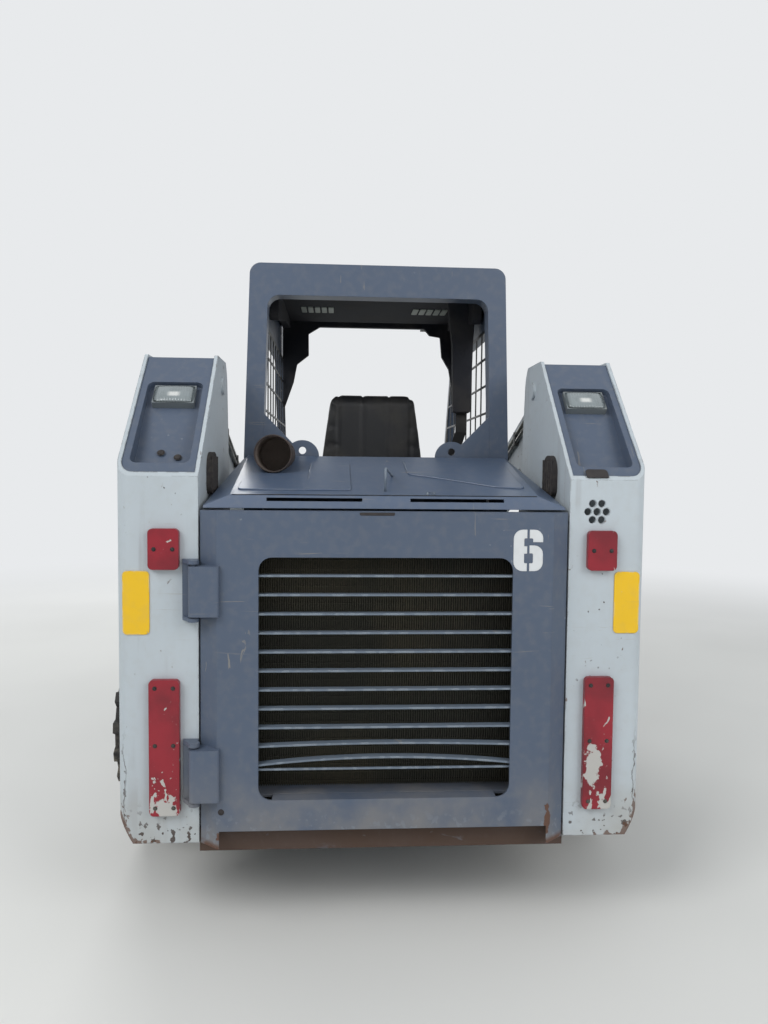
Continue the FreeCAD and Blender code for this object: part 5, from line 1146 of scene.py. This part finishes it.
def pin_keepers():
    """Three bolts round each boom pivot, and the bolts of the cutting edge."""
    for node in ("tower_left", "tower_right"):
        low, high = box(node)
        way = 1 if low.y > 0 else -1
        face = high.y if way > 0 else low.y
        bolts("pivot_bolts_" + node.split("_")[1], ring((PIVOT_X, face, PIVOT_Z), 0.042, 3, way), 0.008, 0.006, "machine",
              "white_paint", "zinc")
    low, high = box("cutting_edge")
    spots = [(Vector((-1.804 + 3.630, y, high.z - SKIN)), Vector((0, 0, 1))) for y in (-0.87, -0.58, -0.29, 0.0, 0.29, 0.58, 0.87)]
    bolts("edge_bolt_heads", spots, 0.016, 0.006, "bucket", "steel", "worn_steel", 8)


def arm_line(x):
    """The height of the arms' middle line along their straight beam."""
    return 1.750 - (x - PIVOT_X) * 0.3483


def boom_fittings():
    """Oil pipes in clips along the arms' inner sides."""
    for side, word in ((1, "left"), (-1, "right")):
        face = side * ARM_INNER_Y
        pipes, clips = bmesh.new(), bmesh.new()
        for drop in (0.0, 0.030):
            tube(pipes, [(x, face - side * 0.010, arm_line(x) + 0.05 - drop) for x in (-1.184, -0.124)], 0.0075, 10)
        for x in (-1.11, -0.80, -0.49, -0.18):
            z = arm_line(x) + 0.05
            low, high = sorted((face, face - side * 0.020))
            add_box(clips, (x - 0.014, low, z - 0.044), (x + 0.014, high, z + 0.014))
        finished("boom_pipes_" + word, pipes, "zinc", "boom", smooth=True)
        finished("pipe_clips_" + word, clips, "black_paint", "boom", bevel=0.002)


PIVOT_X, PIVOT_Z = -1.334, 1.75
ARM_INNER_Y = 0.640


# Stage and the end

def set_stage():
    """A pale floor that fades into the background, and even studio light."""
    low, _ = cad_bounds
    finish = Finish("floor")
    tone = finish.noise(0.6, 2.0).between(0.3, 0.7)
    plain = finish.shader(finish.mix(srgb(226, 226, 223), srgb(220, 220, 217), tone), 0.9)
    away = finish.node("ShaderNodeVectorMath", {"operation": "LENGTH"}, {0: finish.place()}, out="Value")
    seen = finish.node("ShaderNodeLightPath", out="Is Camera Ray")
    glow = finish.node("ShaderNodeEmission", None, {"Color": BACKGROUND})
    surface = finish.node("ShaderNodeMixShader", None, {0: away.between(3.0, 9.0) * seen, 1: plain, 2: glow})
    finish.node("ShaderNodeOutputMaterial", None, {"Surface": surface})
    mesh = bpy.data.meshes.new("floor")
    reach, ground = 40.0, low[2] - 0.0005
    mesh.from_pydata([(-reach, -reach, ground), (reach, -reach, ground), (reach, reach, ground), (-reach, reach, ground)], [], [(0, 1, 2, 3)])
    mesh.materials.append(finish.material)
    floor = bpy.data.objects.new("floor", mesh)
    bpy.context.collection.objects.link(floor)
    world = bpy.data.worlds.new("studio")
    bpy.context.scene.world = world
    world.use_nodes = True
    sky = Nodes(world.node_tree)
    seen = [sky.node("ShaderNodeLightPath", out=kind) for kind in ("Is Camera Ray", "Is Glossy Ray", "Is Transmission Ray")]
    soft = sky.node("ShaderNodeBackground", None, {"Color": (0.93, 0.97, 1.0, 1.0), "Strength": WORLD_LIGHT})
    plain = sky.node("ShaderNodeBackground", None, {"Color": BACKGROUND, "Strength": 1.0})
    chosen = sky.node("ShaderNodeMixShader", None, {0: seen[0].most(seen[1]).most(seen[2]), 1: soft, 2: plain})
    sky.node("ShaderNodeOutputWorld", None, {"Surface": chosen})
    for name, place, size, power in LAMPS:
        data = bpy.data.lights.new(name, "AREA")
        data.size, data.energy = size, power
        lamp = bpy.data.objects.new(name, data)
        lamp.matrix_world = Matrix.Translation(place) @ (Vector((0, 0, 1)) - Vector(place)).to_track_quat("-Z", "Y").to_matrix().to_4x4()
        bpy.context.collection.objects.link(lamp)
    bpy.context.scene.view_settings.view_transform = "Standard"


BACKGROUND = srgb(232, 234, 236)
WORLD_LIGHT = 0.50
LAMPS = (
    ("rear_left", (-6.0, 5.0, 6.5), 4.0, 340.0),
    ("rear_right", (-6.5, -5.0, 4.5), 4.0, 210.0),
    ("front", (6.5, 3.0, 6.0), 4.0, 240.0),
)


set_camera()
set_stage()
dress_nodes()
pad_screws()
stencilled_six()
fins_and_tubes()
door_fittings()
hood_fittings()
lamp_glass()
trough_fittings()
lining()
belt()
seat_pads()
cab_fittings()
track_details()
undercarriage_bolts()
pin_keepers()
boom_fittings()
